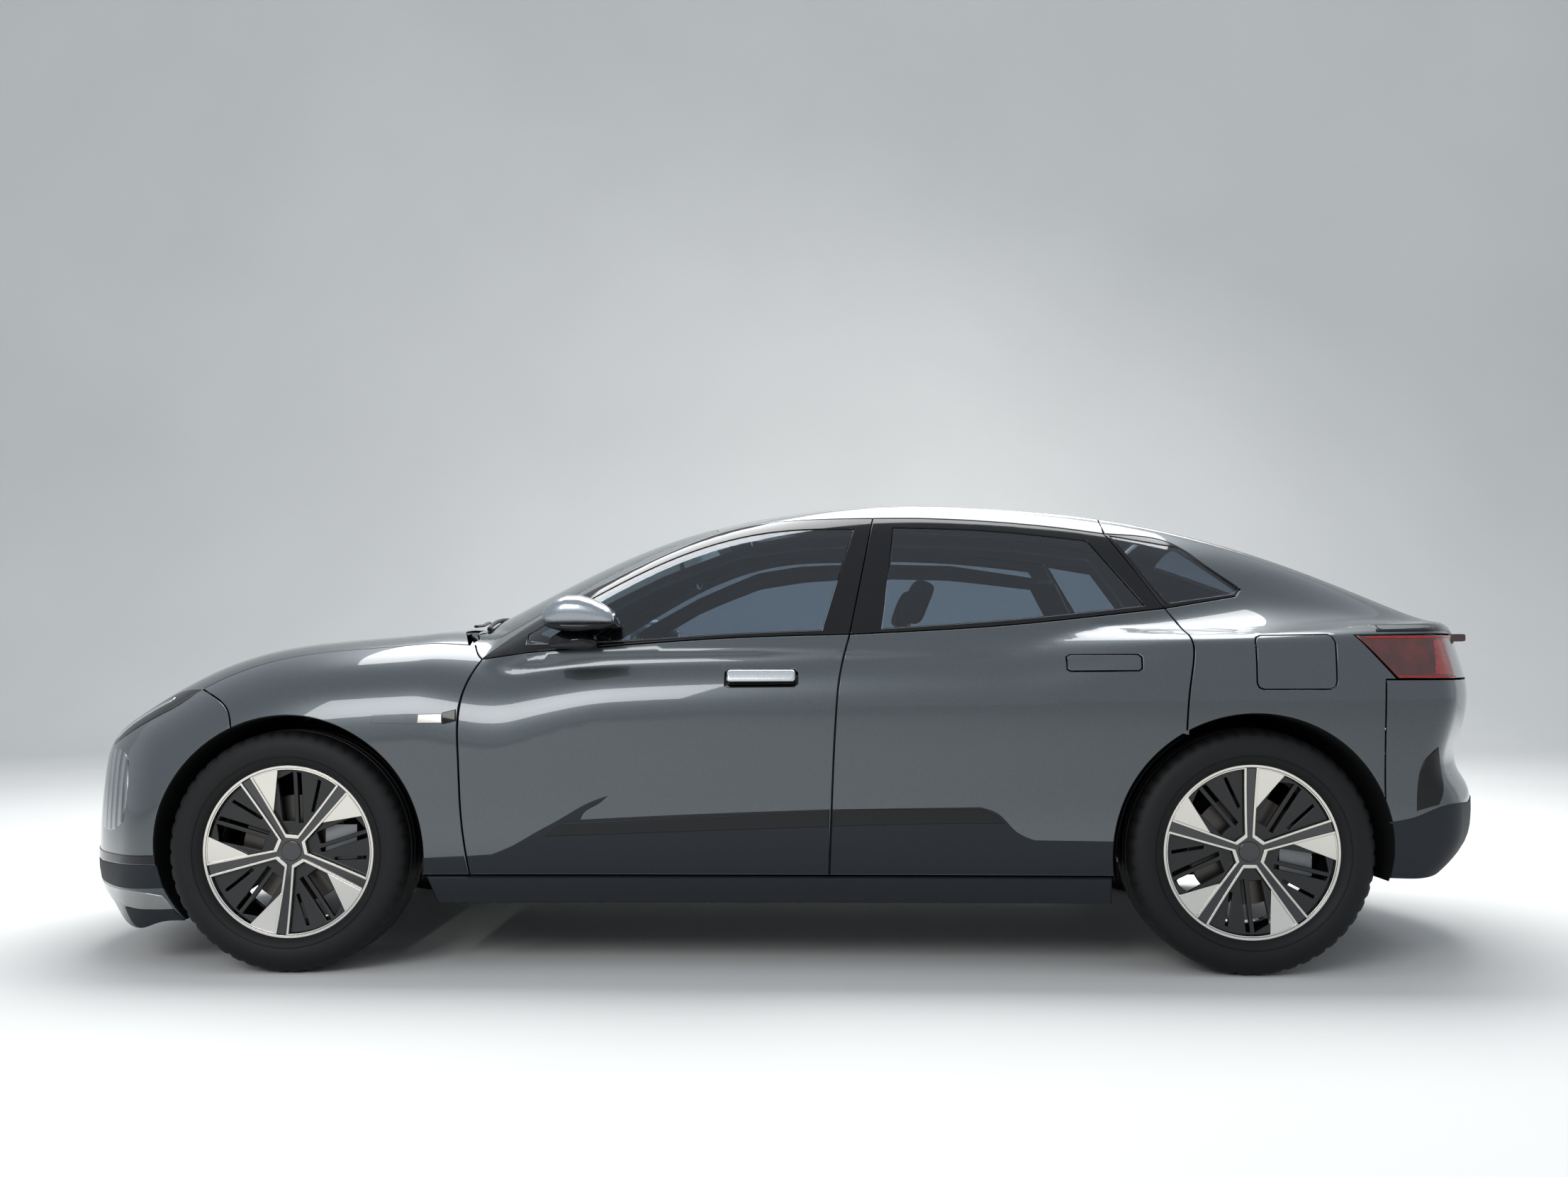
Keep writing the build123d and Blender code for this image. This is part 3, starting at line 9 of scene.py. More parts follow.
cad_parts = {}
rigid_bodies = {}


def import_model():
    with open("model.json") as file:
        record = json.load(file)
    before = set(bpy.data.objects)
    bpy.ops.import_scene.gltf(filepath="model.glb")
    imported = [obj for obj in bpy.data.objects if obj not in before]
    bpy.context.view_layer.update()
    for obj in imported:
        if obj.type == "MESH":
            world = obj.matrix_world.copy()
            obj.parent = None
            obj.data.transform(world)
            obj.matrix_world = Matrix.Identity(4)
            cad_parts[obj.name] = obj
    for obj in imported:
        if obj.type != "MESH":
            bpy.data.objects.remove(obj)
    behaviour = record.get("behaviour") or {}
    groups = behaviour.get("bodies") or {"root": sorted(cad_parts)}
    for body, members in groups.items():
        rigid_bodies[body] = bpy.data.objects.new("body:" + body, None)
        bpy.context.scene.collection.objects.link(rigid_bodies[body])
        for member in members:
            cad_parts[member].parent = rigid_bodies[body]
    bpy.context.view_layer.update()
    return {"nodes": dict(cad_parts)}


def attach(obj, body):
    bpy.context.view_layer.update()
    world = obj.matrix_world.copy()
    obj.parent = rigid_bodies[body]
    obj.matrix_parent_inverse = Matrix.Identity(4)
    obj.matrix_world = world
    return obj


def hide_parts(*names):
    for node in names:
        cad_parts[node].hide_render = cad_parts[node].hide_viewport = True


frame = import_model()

# ---------------------------------------------------------------- bonnet
# The bonnet is one pressed aluminium panel, painted, hinged at its rear corners. Every outer panel
# of the car follows one smooth body skin, which is written here as lengthwise lines in mm, since
# the bonnet is the first panel that is laid on it.


def through(points):
    """Smooth curve through (place, value) points, straight beyond its ends."""
    xs, ys = np.array(points, float).T
    steps = np.diff(xs)
    count = len(xs)
    matrix = np.eye(count)
    right = np.zeros(count)
    for i in range(1, count - 1):
        matrix[i, i - 1:i + 2] = steps[i - 1], 2 * (steps[i - 1] + steps[i]), steps[i]
        right[i] = 6 * ((ys[i + 1] - ys[i]) / steps[i] - (ys[i] - ys[i - 1]) / steps[i - 1])
    bend = np.linalg.solve(matrix, right)
    start = (ys[1] - ys[0]) / steps[0] - steps[0] * bend[1] / 6
    finish = (ys[-1] - ys[-2]) / steps[-1] + steps[-1] * bend[-2] / 6

    def at(x):
        x = np.asarray(x, float)
        i = np.clip(np.searchsorted(xs, x) - 1, 0, count - 2)
        inner = np.clip(x, xs[0], xs[-1])
        u, v, h = inner - xs[i], xs[i + 1] - inner, steps[i]
        value = (bend[i] * v ** 3 + bend[i + 1] * u ** 3) / (6 * h)
        value += (ys[i + 1] / h - bend[i + 1] * h / 6) * u + (ys[i] / h - bend[i] * h / 6) * v
        return value + np.minimum(x - xs[0], 0) * start + np.maximum(x - xs[-1], 0) * finish
    return at


bonnet_line = through([(-2440, 690), (-2386, 727), (-2190, 860), (-1997, 964), (-1803, 1027),
                       (-1609, 1056), (-1320, 1080), (-1090, 1104)])
roof_line = through([(-1300, 985), (-936, 1179), (-649, 1322), (-363, 1432), (-80, 1494), (310, 1534),
                     (711, 1525), (1110, 1488), (1508, 1405), (1904, 1270), (2200, 1148), (2400, 1075)])
shoulder_line = through([(-950, 985), (-552, 1022), (-208, 1044), (221, 1058), (737, 1066), (1200, 1068),
                         (1700, 1085), (2200, 1098)])
half_width = through([(-2100, 965), (-1540, 990), (-1000, 984), (-300, 982), (400, 986), (1000, 998),
                      (1459, 1004), (1800, 996), (2100, 960), (2400, 880)])
tuck = through([(150, 110), (250, 62), (350, 30), (450, 16), (600, 10), (750, 3), (850, 0), (950, 4),
                (1050, 22), (1150, 60)])
belt_width = through([(-1100, 850), (-900, 880), (-500, 900), (0, 906), (500, 902), (1000, 876),
                      (1440, 812), (1900, 700), (2300, 590)])
glass_lean = through([(-900, .52), (0, .63), (500, .63), (1000, .62), (1440, .60), (1900, .55),
                      (2300, .50)])
nose_line = through([(100, 60), (190, 30), (260, 6), (340, 0), (470, 6), (700, 38), (900, 90)])
tail_line = through([(250, 150), (330, 60), (400, 12), (480, 0), (560, 10), (620, 44), (700, 42),
                     (800, 14), (900, 12), (1000, 40), (1110, 70), (1300, 110)])


def ramp(x, start, end):
    t = np.clip((x - start) / (end - start), 0, 1)
    return t * t * (3 - 2 * t)


def larger(a, b, radius):
    """The larger of two values, rounded where they cross."""
    h = np.maximum(radius - np.abs(a - b), 0) / radius
    return np.maximum(a, b) + h * h * radius / 4


def lower_body(x, y, z):
    """Below zero inside the body under the windows."""
    y = np.abs(y)
    bonnet = bonnet_line(x - 94 * (y / 600) ** 2.2) - 12 * (y / 600) ** 2
    deck = shoulder_line(x) - 0.35 * (larger(y, 700 + 200 * ramp(x, 700, 1500), 120) - 900)
    blend = ramp(x, -1150, -820)
    top = (1 - blend) * bonnet + blend * deck
    edge = 320 - 120 * ramp(x, -1100, -500) - 160 * ramp(x, 700, 1300)
    skin = larger(y - half_width(x) + tuck(z), z - top, edge)
    skin = larger(skin, -2420 + 163 * (y / 700) ** 2.87 + nose_line(z) - x, 60)
    return larger(skin, x - 2420 + 193 * (y / 700) ** 1.8 + tail_line(z), 50)


def body(x, y, z):
    """Below zero inside the whole body, with the windows and the roof."""
    y = np.abs(y)
    roof = roof_line(x + 110 * (y / 650) ** 2 * np.tanh((x - 500) / 600)) - 43 * (y / 600) ** 2
    side = y - belt_width(x) + (np.maximum(z, 1000) - 1064) * glass_lean(x)
    side = side - 12 * (1 - ((z - 1253) / 190) ** 2)
    cabin = larger(z - roof, side, 90)
    cabin = larger(cabin, x - 2330 + 193 * (y / 700) ** 1.8, 20)
    fold = (15 + 145 * ramp(x, 1000, 1600)) * (1 - 0.8 * ramp(x, 1800, 2200))
    return -larger(-lower_body(x, y, z), -cabin, fold)


def slope(skin, p):
    """Outward unit direction of a skin at points."""
    step = 0.5
    parts = []
    for axis in np.eye(3) * step:
        a, b = (p + axis).T, (p - axis).T
        parts.append(skin(*a) - skin(*b))
    parts = np.array(parts).T
    return parts / np.maximum(np.linalg.norm(parts, axis=1, keepdims=True), 1e-9)


def settle(skin, p):
    """Moves points that are near a skin onto it."""
    for _ in range(5):
        n = slope(skin, p)
        ahead = skin(*(p + n * 0.5).T) - skin(*(p - n * 0.5).T)
        p = p - n * np.clip(skin(*p.T) / np.maximum(ahead, 0.2), -20, 20)[:, None]
    return p


def strike(skin, starts, directions, reach=3000.0):
    """Where lines first meet a skin."""
    depths = np.linspace(0, reach, 220)
    rays = starts[:, None] + depths[None, :, None] * directions[:, None]
    inside = skin(rays[..., 0], rays[..., 1], rays[..., 2]) < 0
    first = np.where(inside.any(1), np.maximum(np.argmax(inside, 1), 1), len(depths) - 1)
    near, far = depths[first - 1], depths[first]
    for _ in range(22):
        middle = (near + far) / 2
        p = starts + middle[:, None] * directions
        hit = skin(*p.T) < 0
        far = np.where(hit, middle, far)
        near = np.where(hit, near, middle)
    return starts + far[:, None] * directions


class Flat:
    """Parallel view of the body along a direction, with flat coordinates across it."""

    def __init__(self, *direction):
        self.into = np.array(direction, float) / np.linalg.norm(direction)
        start = (0, 0, 1) if abs(self.into[2]) < 0.95 else (1, 0, 0)
        self.u = np.cross(self.into, start)
        self.u /= np.linalg.norm(self.u)
        self.v = np.cross(self.u, self.into)

    def flatten(self, p):
        return np.array([p @ self.u, p @ self.v]).T

    def lines(self, uv):
        starts = uv[:, :1] * self.u + uv[:, 1:] * self.v - 3500 * self.into
        return starts, np.tile(self.into, (len(uv), 1))


class Turned:
    """View of the body from all round an upright line, with arc length and height as coordinates."""
    radius = 900.0

    def __init__(self, x, ahead):
        self.x, self.ahead = x, ahead

    def flatten(self, p):
        angle = np.arctan2(p[:, 1], (p[:, 0] - self.x) * self.ahead)
        return np.array([angle * self.radius * self.ahead, p[:, 2]]).T

    def lines(self, uv):
        angle = uv[:, 0] / self.radius * self.ahead
        out = np.array([np.cos(angle) * self.ahead, np.sin(angle), 0 * angle]).T
        starts = out * 3000 + np.array([self.x, 0, 0])
        starts[:, 2] = uv[:, 1]
        return starts, -out


def drawn(points, smooth=True, spacing=12.0):
    """Points along a straight or smooth line through the given ones."""
    points = np.array(points, float)
    lengths = np.linalg.norm(np.diff(points, axis=0), axis=1)
    places = np.concatenate([[0], np.cumsum(lengths)])
    if smooth and len(points) > 2:
        count = max(int(places[-1] / spacing), 2) + 1
        at = np.linspace(0, places[-1], count)
        return np.array([through(list(zip(places, column)))(at) for column in points.T]).T
    parts = [np.linspace(a, b, max(int(n / spacing), 1), endpoint=False)
             for a, b, n in zip(points, points[1:], lengths)]
    return np.vstack(parts + [points[-1:]])


def projector(origin, axes, direction, usual_skin):
    """Makes a function that lays a flat line on a skin, looking along a direction."""
    def laid(points, smooth=True, skin=usual_skin):
        flat = drawn(points, smooth)
        starts = np.tile(np.array(origin, float), (len(flat), 1))
        starts[:, axes] = flat
        return strike(skin, starts, np.tile(np.array(direction, float), (len(flat), 1)))
    return laid


# Lines given as x, z (on the left side), as x, y or as y, z. The low ones take the body without
# its windows and roof.
from_side = projector((0, -1800, 0), (0, 2), (0, 1, 0), body)
low_side = projector((0, -1800, 0), (0, 2), (0, 1, 0), lower_body)
from_above = projector((0, 0, 2200), (0, 1), (0, 0, -1), body)
low_above = projector((0, 0, 2200), (0, 1), (0, 0, -1), lower_body)
from_front = projector((-3600, 0, 0), (1, 2), (1, 0, 0), lower_body)
from_behind = projector((3600, 0, 0), (1, 2), (-1, 0, 0), body)


def flipped(p):
    """The same points on the other side of the car, in the opposite order."""
    return (p * [1, -1, 1])[::-1]


def closed(*runs):
    """One closed loop of points from runs that follow each other."""
    loop = np.vstack(runs)
    keep = np.linalg.norm(loop - np.roll(loop, 1, 0), axis=1) > 1.5
    return loop[keep]


def within(uv, loops):
    """Which flat points lie inside an odd number of loops."""
    inside = np.zeros(len(uv), bool)
    for loop in loops:
        for (x0, y0), (x1, y1) in zip(loop, np.roll(loop, -1, 0)):
            if y0 != y1:
                crosses = (uv[:, 1] < max(y0, y1)) & (uv[:, 1] >= min(y0, y1))
                inside ^= crosses & (uv[:, 0] < x0 + (uv[:, 1] - y0) / (y1 - y0) * (x1 - x0))
    return inside


def filled(loops, spacing):
    """Triangles over flat loops, with added inner points; loops keep their order at the start."""
    edge = np.vstack(loops)
    low, high = edge.min(0), edge.max(0)
    grid = np.array(np.meshgrid(np.arange(low[0] + spacing / 2, high[0], spacing),
                                np.arange(low[1] + spacing / 2, high[1], spacing))).reshape(2, -1).T
    grid = grid[within(grid, loops)]
    near = np.array([np.min(np.sum((edge - p) ** 2, 1)) for p in grid]) if len(grid) else np.zeros(0)
    grid = grid[near > (0.55 * spacing) ** 2] if len(grid) else grid.reshape(0, 2)
    points = np.vstack([edge, grid])
    edges = []
    first = 0
    for loop in loops:
        edges += [(first + i, first + (i + 1) % len(loop)) for i in range(len(loop))]
        first += len(loop)
    found, _, faces, origin, _, _ = delaunay_2d_cdt([Vector(p) for p in points], edges, [], 0, 1e-4)
    names = []
    for place, source in zip(found, origin):
        if source:
            names.append(source[0])
        else:
            names.append(len(points))
            points = np.vstack([points, [place]])
    faces = np.array([[names[i] for i in face] for face in faces])
    middles = points[faces].mean(1)
    return points, faces[within(middles, loops)]


def moved_in(skin, loop, distance):
    """A loop on a skin moved sideways into its panel, and the direction out of the panel."""
    before = loop - np.roll(loop, 1, 0)
    after = np.roll(loop, -1, 0) - loop
    before /= np.linalg.norm(before, axis=1, keepdims=True)
    after /= np.linalg.norm(after, axis=1, keepdims=True)
    along = before + after
    size = np.maximum(np.linalg.norm(along, axis=1, keepdims=True), 0.7)
    inward = np.cross(slope(skin, loop), along / size)
    inward /= np.maximum(np.linalg.norm(inward, axis=1, keepdims=True), 1e-9)
    return settle(skin, loop + inward * distance * 2 / size), -inward


def panel(outline, view, holes=(), skin=body, gap=4.6, lift=0.0, thick=4.0, roll=2.6, spacing=24.0):
    """Points in mm, faces and normals of a sheet with rolled edges laid on a skin inside an outline."""
    loops = []
    for number, loop in enumerate([outline, *holes]):
        flat = view.flatten(loop)
        area = np.sum(flat[:, 0] * np.roll(flat[:, 1], -1) - flat[:, 1] * np.roll(flat[:, 0], -1))
        loops.append(loop if (area > 0) == (number == 0) else loop[::-1])
    rims = [moved_in(skin, loop, gap / 2 + roll) for loop in loops]
    outs = np.vstack([out for _, out in rims])
    flats = [view.flatten(rim) for rim, _ in rims]
    uv, faces = filled(flats, spacing)
    border = np.vstack([rim for rim, _ in rims])
    face_points = np.vstack([border, strike(skin, *view.lines(uv[len(border):]), reach=6500.0)])
    normals = slope(skin, face_points)
    rim_normals = normals[:len(border)]
    middle = np.vstack([moved_in(skin, loop, gap / 2 + roll * 0.3)[0] for loop in loops])
    outer = np.vstack([moved_in(skin, loop, gap / 2)[0] for loop in loops])
    layers = [face_points, middle - rim_normals * roll * 0.3, outer - rim_normals * roll,
              outer - rim_normals * thick, face_points - normals * thick]
    layer_normals = [normals, rim_normals * 0.7 + outs * 0.7, outs, outs, -normals]
    starts = np.cumsum([0] + [len(layer) for layer in layers])
    all_faces = [list(map(int, f)) for f in faces]
    all_faces += [[int(starts[4] + i) for i in f[::-1]] for f in faces]
    first = 0
    for loop in loops:
        count = len(loop)
        for a, b in zip(starts[:4], starts[1:5]):
            for i in range(count):
                j = (i + 1) % count
                all_faces.append([int(first + k) for k in (a + i, b + i, b + j, a + j)])
        first += count
    points = np.vstack(layers) + np.vstack([normals, rim_normals, rim_normals, rim_normals, normals]) * lift
    return points, all_faces, np.vstack(layer_normals)


def mirror_image(shape):
    points, faces, normals = shape
    turned_normals = None if normals is None else normals * [1, -1, 1]
    return points * [1, -1, 1], [f[::-1] for f in faces], turned_normals


def side_loop(*runs, look=from_side):
    """Closed loop of smooth runs seen from the side."""
    return closed(*[look(run) for run in runs])


def flat_loop(points):
    """Straight-sided loop seen from the side."""
    return closed(from_side(list(points) + [points[0]], smooth=False))


def whole(*runs):
    """Closed loop across the car from the runs of one half."""
    half = np.vstack(runs)
    return closed(half, flipped(half))


def band(upper, lower):
    """Closed loop between two lines that go on across the car."""
    return closed(upper, flipped(upper), np.vstack([lower, flipped(lower)])[::-1])


def piece(name, shape, surface, ride="root", replaced=()):
    """Makes an object of points in mm, and ties it to a body and the solids it stands for."""
    points, faces, normals = shape
    mesh = bpy.data.meshes.new(name)
    mesh.from_pydata((points * 0.001).tolist(), [], faces)
    mesh.materials.append(surface)
    mesh.polygons.foreach_set("use_smooth", [True] * len(mesh.polygons))
    if normals is not None:
        size = np.maximum(np.linalg.norm(normals, axis=1, keepdims=True), 1e-9)
        mesh.normals_split_custom_set_from_vertices((normals / size).tolist())
    made = bpy.data.objects.new(name, mesh)
    bpy.context.scene.collection.objects.link(made)
    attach(made, ride)
    if replaced:
        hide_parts(*replaced)
    return made


def pair(name, shape, surface, ride="root", replaced=()):
    """The same piece on the left and, mirrored, on the right."""
    return [piece(name + "_" + side, one, surface, ride.replace("SIDE", side),
                  [node.replace("SIDE", side) for node in replaced])
            for side, one in (("left", shape), ("right", mirror_image(shape)))]


def linear(colour):
    """Linear value of an sRGB hex colour."""
    parts = [int(colour[i:i + 2], 16) / 255 for i in (0, 2, 4)]
    return [p / 12.92 if p <= 0.04045 else ((p + 0.055) / 1.055) ** 2.4 for p in parts] + [1.0]


def add(tree, kind, inputs, **settings):
    """Adds one shader node with its settings, and links or values for its inputs."""
    node = tree.nodes.new("ShaderNode" + kind)
    for name, value in settings.items():
        setattr(node, name, value)
    for name, value in inputs.items():
        if isinstance(value, bpy.types.NodeSocket):
            tree.links.new(value, node.inputs[name])
        else:
            node.inputs[name].default_value = value
    return node


def new_material(name):
    """An empty material; gives its node tree and its main shader too."""
    made = bpy.data.materials.new(name)
    made.use_nodes = True
    return made, made.node_tree, made.node_tree.nodes["Principled BSDF"]


def finish(name, dark, light, rough, grain_mm, height_mm=0, pattern="TexNoise", stretch=(1, 1, 1),
           rough_spread=0.06, slot="trim_plastic", **shader):
    """A surface whose pattern of a real size moves its colour, roughness and height."""
    made, tree, base = new_material(name)
    place = add(tree, "TexCoord", {})
    scaled = add(tree, "Mapping", {"Vector": place.outputs["Object"], "Scale": stretch})
    texture = add(tree, pattern, {"Vector": scaled.outputs[0], "Scale": 1000 / grain_mm})
    value = texture.outputs["Distance" if pattern == "TexVoronoi" else 0]
    colours = add(tree, "ValToRGB", {"Fac": value})
    for stop, colour, position in zip(colours.color_ramp.elements, (dark, light), (0.3, 0.7)):
        stop.color, stop.position = linear(colour), position
    roughness = add(tree, "MapRange", {"Value": value, "To Min": rough - rough_spread / 2,
                                       "To Max": rough + rough_spread / 2})
    tree.links.new(colours.outputs[0], base.inputs["Base Color"])
    tree.links.new(roughness.outputs[0], base.inputs["Roughness"])
    if height_mm:
        bump = add(tree, "Bump", {"Height": value, "Distance": height_mm / 1000, "Strength": 1.0})
        tree.links.new(bump.outputs[0], base.inputs["Normal"])
    for socket, value in shader.items():
        base.inputs[socket.replace("_", " ")].default_value = value
    return made


# Graphite metallic paint: fine aluminium flakes in grey under a clear lacquer, which gives a soft
# metal glow under a sharp reflection. Flakes of 0.05 mm are drawn as 1.5 mm to show at all.
paint = finish("graphite_metallic_paint", "454b4e", "51575a", 0.34, 1.5, 0, "TexVoronoi", slot="body_paint",
               Metallic=0.72, Coat_Weight=1.0, Coat_Roughness=0.03, Coat_IOR=1.5)

bonnet_side = low_above([(-1005, -790), (-1200, -800), (-1500, -802), (-1880, -812)])
bonnet_front = low_above([(-1880, -812), (-2060, -724), (-2200, -562), (-2305, -300), (-2340, 0)])
bonnet_outline = whole(low_above([(-1122, 0), (-1108, -300), (-1050, -640), (-1005, -790)]), bonnet_side,
                       bonnet_front)
bonnet_view = Flat(0.5, 0, -1)
piece("bonnet_panel", panel(bonnet_outline, bonnet_view, skin=lower_body), paint, "bonnet", ["bonnet"])

# ---------------------------------------------------------------- front wings
# Each wing is a painted steel pressing over the wheel, screwed to the body and ending at the door,
# the bonnet and the bumper. Its lower edge is folded in round the wheel opening.
arch_radius = 428
wheel_height = 381.5
front_axle, rear_axle = -1540, 1459
door_low = 308


def arch(centre, start, end):
    """Line round a wheel opening, seen from the side, between two angles in degrees."""
    angles = np.radians(np.linspace(start, end, max(int(abs(end - start) / 2), 2)))
    return low_side([(centre + arch_radius * math.cos(a), wheel_height + arch_radius * math.sin(a))
                     for a in angles], smooth=False)


belt_front = (-948, 985)
door_front_edge = [(-968, door_low), (-989, 489), (-997, 700), (-991, 866), (-973, 929), belt_front]
wing_front = [(-1719, 770), (-1737, 822), (-1803, 868), (-1888, 897)]
wing_outline = closed(bonnet_side[::-1], low_side([(-1003, 1050), (-985, 1030), (-955, 990), belt_front]),
                      low_side(door_front_edge[::-1]), low_side([(-968, door_low), (-1116, door_low)]),
                      arch(front_axle, -10, 114.7), low_side(wing_front))
pair("front_wing", panel(wing_outline, Flat(0.4, 1, -0.7), skin=lower_body, thick=14), paint, "root",
     ["front_fender_SIDE"])

# Piano-black trim: injection-moulded acrylic, a very dark even colour with a sharp reflection.
gloss_black = finish("gloss_black_moulded_acrylic", "050608", "08090c", 0.07, 60, IOR=1.49,
                     Specular_IOR_Level=0.4)
# Unpainted polypropylene with a moulded leather grain of about 1.5 mm, which scatters light.
grained_black = finish("grained_black_polypropylene", "181b1f", "20242a", 0.58, 1.5, 0.12, IOR=1.49,
                       Specular_IOR_Level=0.3)
# The insert let into the cladding is dyed through and satin-smooth, a shade darker than its grain.
# The same black on the rear bumper corners is partly painted shade of deep vents.
satin_insert_and_vent_shade = finish("satin_black_insert_and_vent_shade", "060709", "0a0b0e", 0.3, 6, Specular_IOR_Level=0.35)
satin_silver = finish("satin_chromed_zinc", "c9ccce", "d8dadb", 0.2, 3, Metallic=1.0)


def glass(name, tint):
    """Float glass with body tint; a faint film in patches of a hand's size dulls it here and there."""
    made, tree, base = new_material(name)
    place = add(tree, "TexCoord", {})
    patches = add(tree, "TexNoise", {"Vector": place.outputs["Object"], "Scale": 3.0, "Detail": 1.0})
    film = add(tree, "MapRange", {"Value": patches.outputs[0], "To Min": 0.0, "To Max": 0.02})
    tree.links.new(film.outputs[0], base.inputs["Roughness"])
    base.inputs["Base Color"].default_value = linear(tint)
    base.inputs["Transmission Weight"].default_value = 1.0
    base.inputs["IOR"].default_value = 1.52
    return made


# Tempered side glass in a blue-grey privacy tint: dark, but the far windows still show through.
tinted_glass = glass("blue_grey_tinted_glass", "9aa6b2")

# ---------------------------------------------------------------- doors
# A door is a painted steel skin up to the window line, with a gloss black frame and one pane of
# dark glass above it. Its handle lies in a recess, and cladding with an insert covers its foot; on
# the front doors a thin blade of that black, rising to a tip, is painted crease shade.
side_view, door_view, window_view = Flat(0, 1, 0), Flat(0, 1, -0.3), Flat(0, 1, -0.5)
on_cladding = 2.6
cladding_low = 311


def door(end, outline, hole, frame_outline, window, cladding, insert):
    """One end's doors on both sides, from their loops."""
    ride = "door_%s_SIDE" % end
    pair("door_skin_" + end, panel(outline, door_view, [hole]), paint, ride, [ride])
    pair("handle_recess_" + end, panel(hole, door_view, lift=-18, gap=-10, spacing=40), gloss_black, ride)
    pair("door_frame_" + end, panel(frame_outline, window_view, [window], thick=22, gap=3), gloss_black, ride)
    pair("side_glass_" + end, panel(window, window_view, lift=-2.5, gap=1.0, roll=0.8, spacing=30),
         tinted_glass, ride, ["glass_%s_SIDE" % end])
    pair("door_cladding_" + end, panel(cladding, side_view, lift=on_cladding), grained_black, ride)
    pair("door_insert_" + end, panel(insert, side_view, lift=4.4, gap=0), satin_insert_and_vent_shade, ride)


pillar_edge = [belt_front, (-905, 1024), (-618, 1207), (-401, 1317), (-142, 1420), (43, 1444), (305, 1448)]
middle_edge = [(220, 1046), (195, 948), (181, 828), (165, 500), (158, door_low)]
front_belt = [belt_front, (-800, 1004), (-546, 1024), (-205, 1047), (223, 1060)]
handle_front = flat_loop([(-163, 902), (-152, 897), (50, 898), (60, 906), (60, 940), (50, 949), (-150, 949),
                          (-163, 942)])
# The front cladding rises in a thin blade to a tip at (-523, 563): that blade is painted crease shade in the
# cladding's black, the rest is the cladding itself.
front_cladding_and_crease_shade = closed(
    side_loop([(-975, 372), (-897, 377)],
              [(-897, 377), (-830, 405), (-772, 438), (-672, 493), (-590, 539), (-523, 563)],
              [(-523, 563), (-560, 530), (-606, 500), (-612, 487)], [(-612, 487), (-300, 502), (162, 519)]),
    from_side([(162, 519), (158, cladding_low)], smooth=False),
    from_side([(158, cladding_low), (-966, cladding_low)]),
    from_side([(-966, cladding_low), (-975, 372)], smooth=False))
door("front", side_loop(door_front_edge, front_belt, [(223, 1060), (220, 1046)], middle_edge,
                        [(158, door_low), (-968, door_low)]), handle_front,
     side_loop(pillar_edge, [(305, 1448), (223, 1060)], front_belt[::-1]),
     side_loop([(-800, 1034), (-546, 1040), (-205, 1060), (137, 1074)], [(137, 1074), (240, 1410)],
               [(240, 1410), (-45, 1398), (-309, 1326), (-560, 1203), (-800, 1064)]), front_cladding_and_crease_shade,
     side_loop([(-728, 432), (-672, 474)], [(-672, 474), (157, 513)], [(157, 513), (155, 463)],
               [(155, 463), (-728, 432)]))
# The flush handles are die-cast bars. The front ones, satin silver, stand out as they do unlocked.
handle_bar = flat_loop([(-158, 909), (-150, 905), (48, 906), (55, 912), (55, 935), (48, 941), (-148, 941),
                        (-158, 936)])
pair("door_handle_front", panel(handle_bar, door_view, lift=26, thick=34, gap=0, roll=8, spacing=12),
     satin_silver, "door_front_SIDE")
wing_cladding = closed(side_loop([(-1110, 366), (-981, 372)], [(-981, 372), (-970, cladding_low)],
                                 [(-970, cladding_low), (-1116, cladding_low)]), arch(front_axle, -9, -2.5))
pair("wing_cladding", panel(wing_cladding, side_view, lift=on_cladding), grained_black)

rear_belt = [(223, 1060), (737, 1089), (1086, 1125), (1227, 1141)]
door_rear_edge = [(1227, 1141), (1268, 1061), (1261, 902), (1250, 753)]
rear_top_edge = [(305, 1448), (403, 1448), (675, 1436), (942, 1409), (1062, 1392)]
handle_rear = flat_loop([(890, 948), (900, 942), (1106, 943), (1115, 950), (1115, 984), (1104, 993),
                         (902, 993), (890, 986)])
door_gap = from_side(middle_edge[::-1])
rear_cladding = closed(from_side([(165.5, 519), (623, 526)]),
                       from_side([(623, 526), (680, 505), (735, 450), (790, 424)]),
                       from_side([(790, 424), (1033, 421)]), arch(rear_axle, 174.8, 189.6),
                       from_side([(1037, cladding_low), (159, cladding_low)]),
                       door_gap[(door_gap[:, 2] > 312) & (door_gap[:, 2] < 518)])
door("rear", closed(from_side(rear_belt), from_side(door_rear_edge), arch(rear_axle, 119.6, 190),
                    from_side([(1037, door_low), (158, door_low)]), door_gap,
                    from_side([(220, 1046), (223, 1060)])), handle_rear,
     side_loop(rear_top_edge, [(1062, 1392), (1227, 1141)], rear_belt[::-1], [(223, 1060), (305, 1448)]),
     side_loop([(326, 1078), (737, 1106), (1160, 1150)], [(1160, 1150), (1000, 1366)],
               [(1000, 1366), (672, 1402), (371, 1414)]), rear_cladding,
     side_loop([(171, 514), (437, 519), (618, 519)], [(618, 519), (660, 505), (698, 474)],
               [(698, 474), (436, 471), (169, 464)], [(169, 464), (171, 514)]))
pair("door_handle_rear", panel(handle_rear, door_view, thick=12, gap=4, roll=2, spacing=12), paint,
     "door_rear_SIDE")

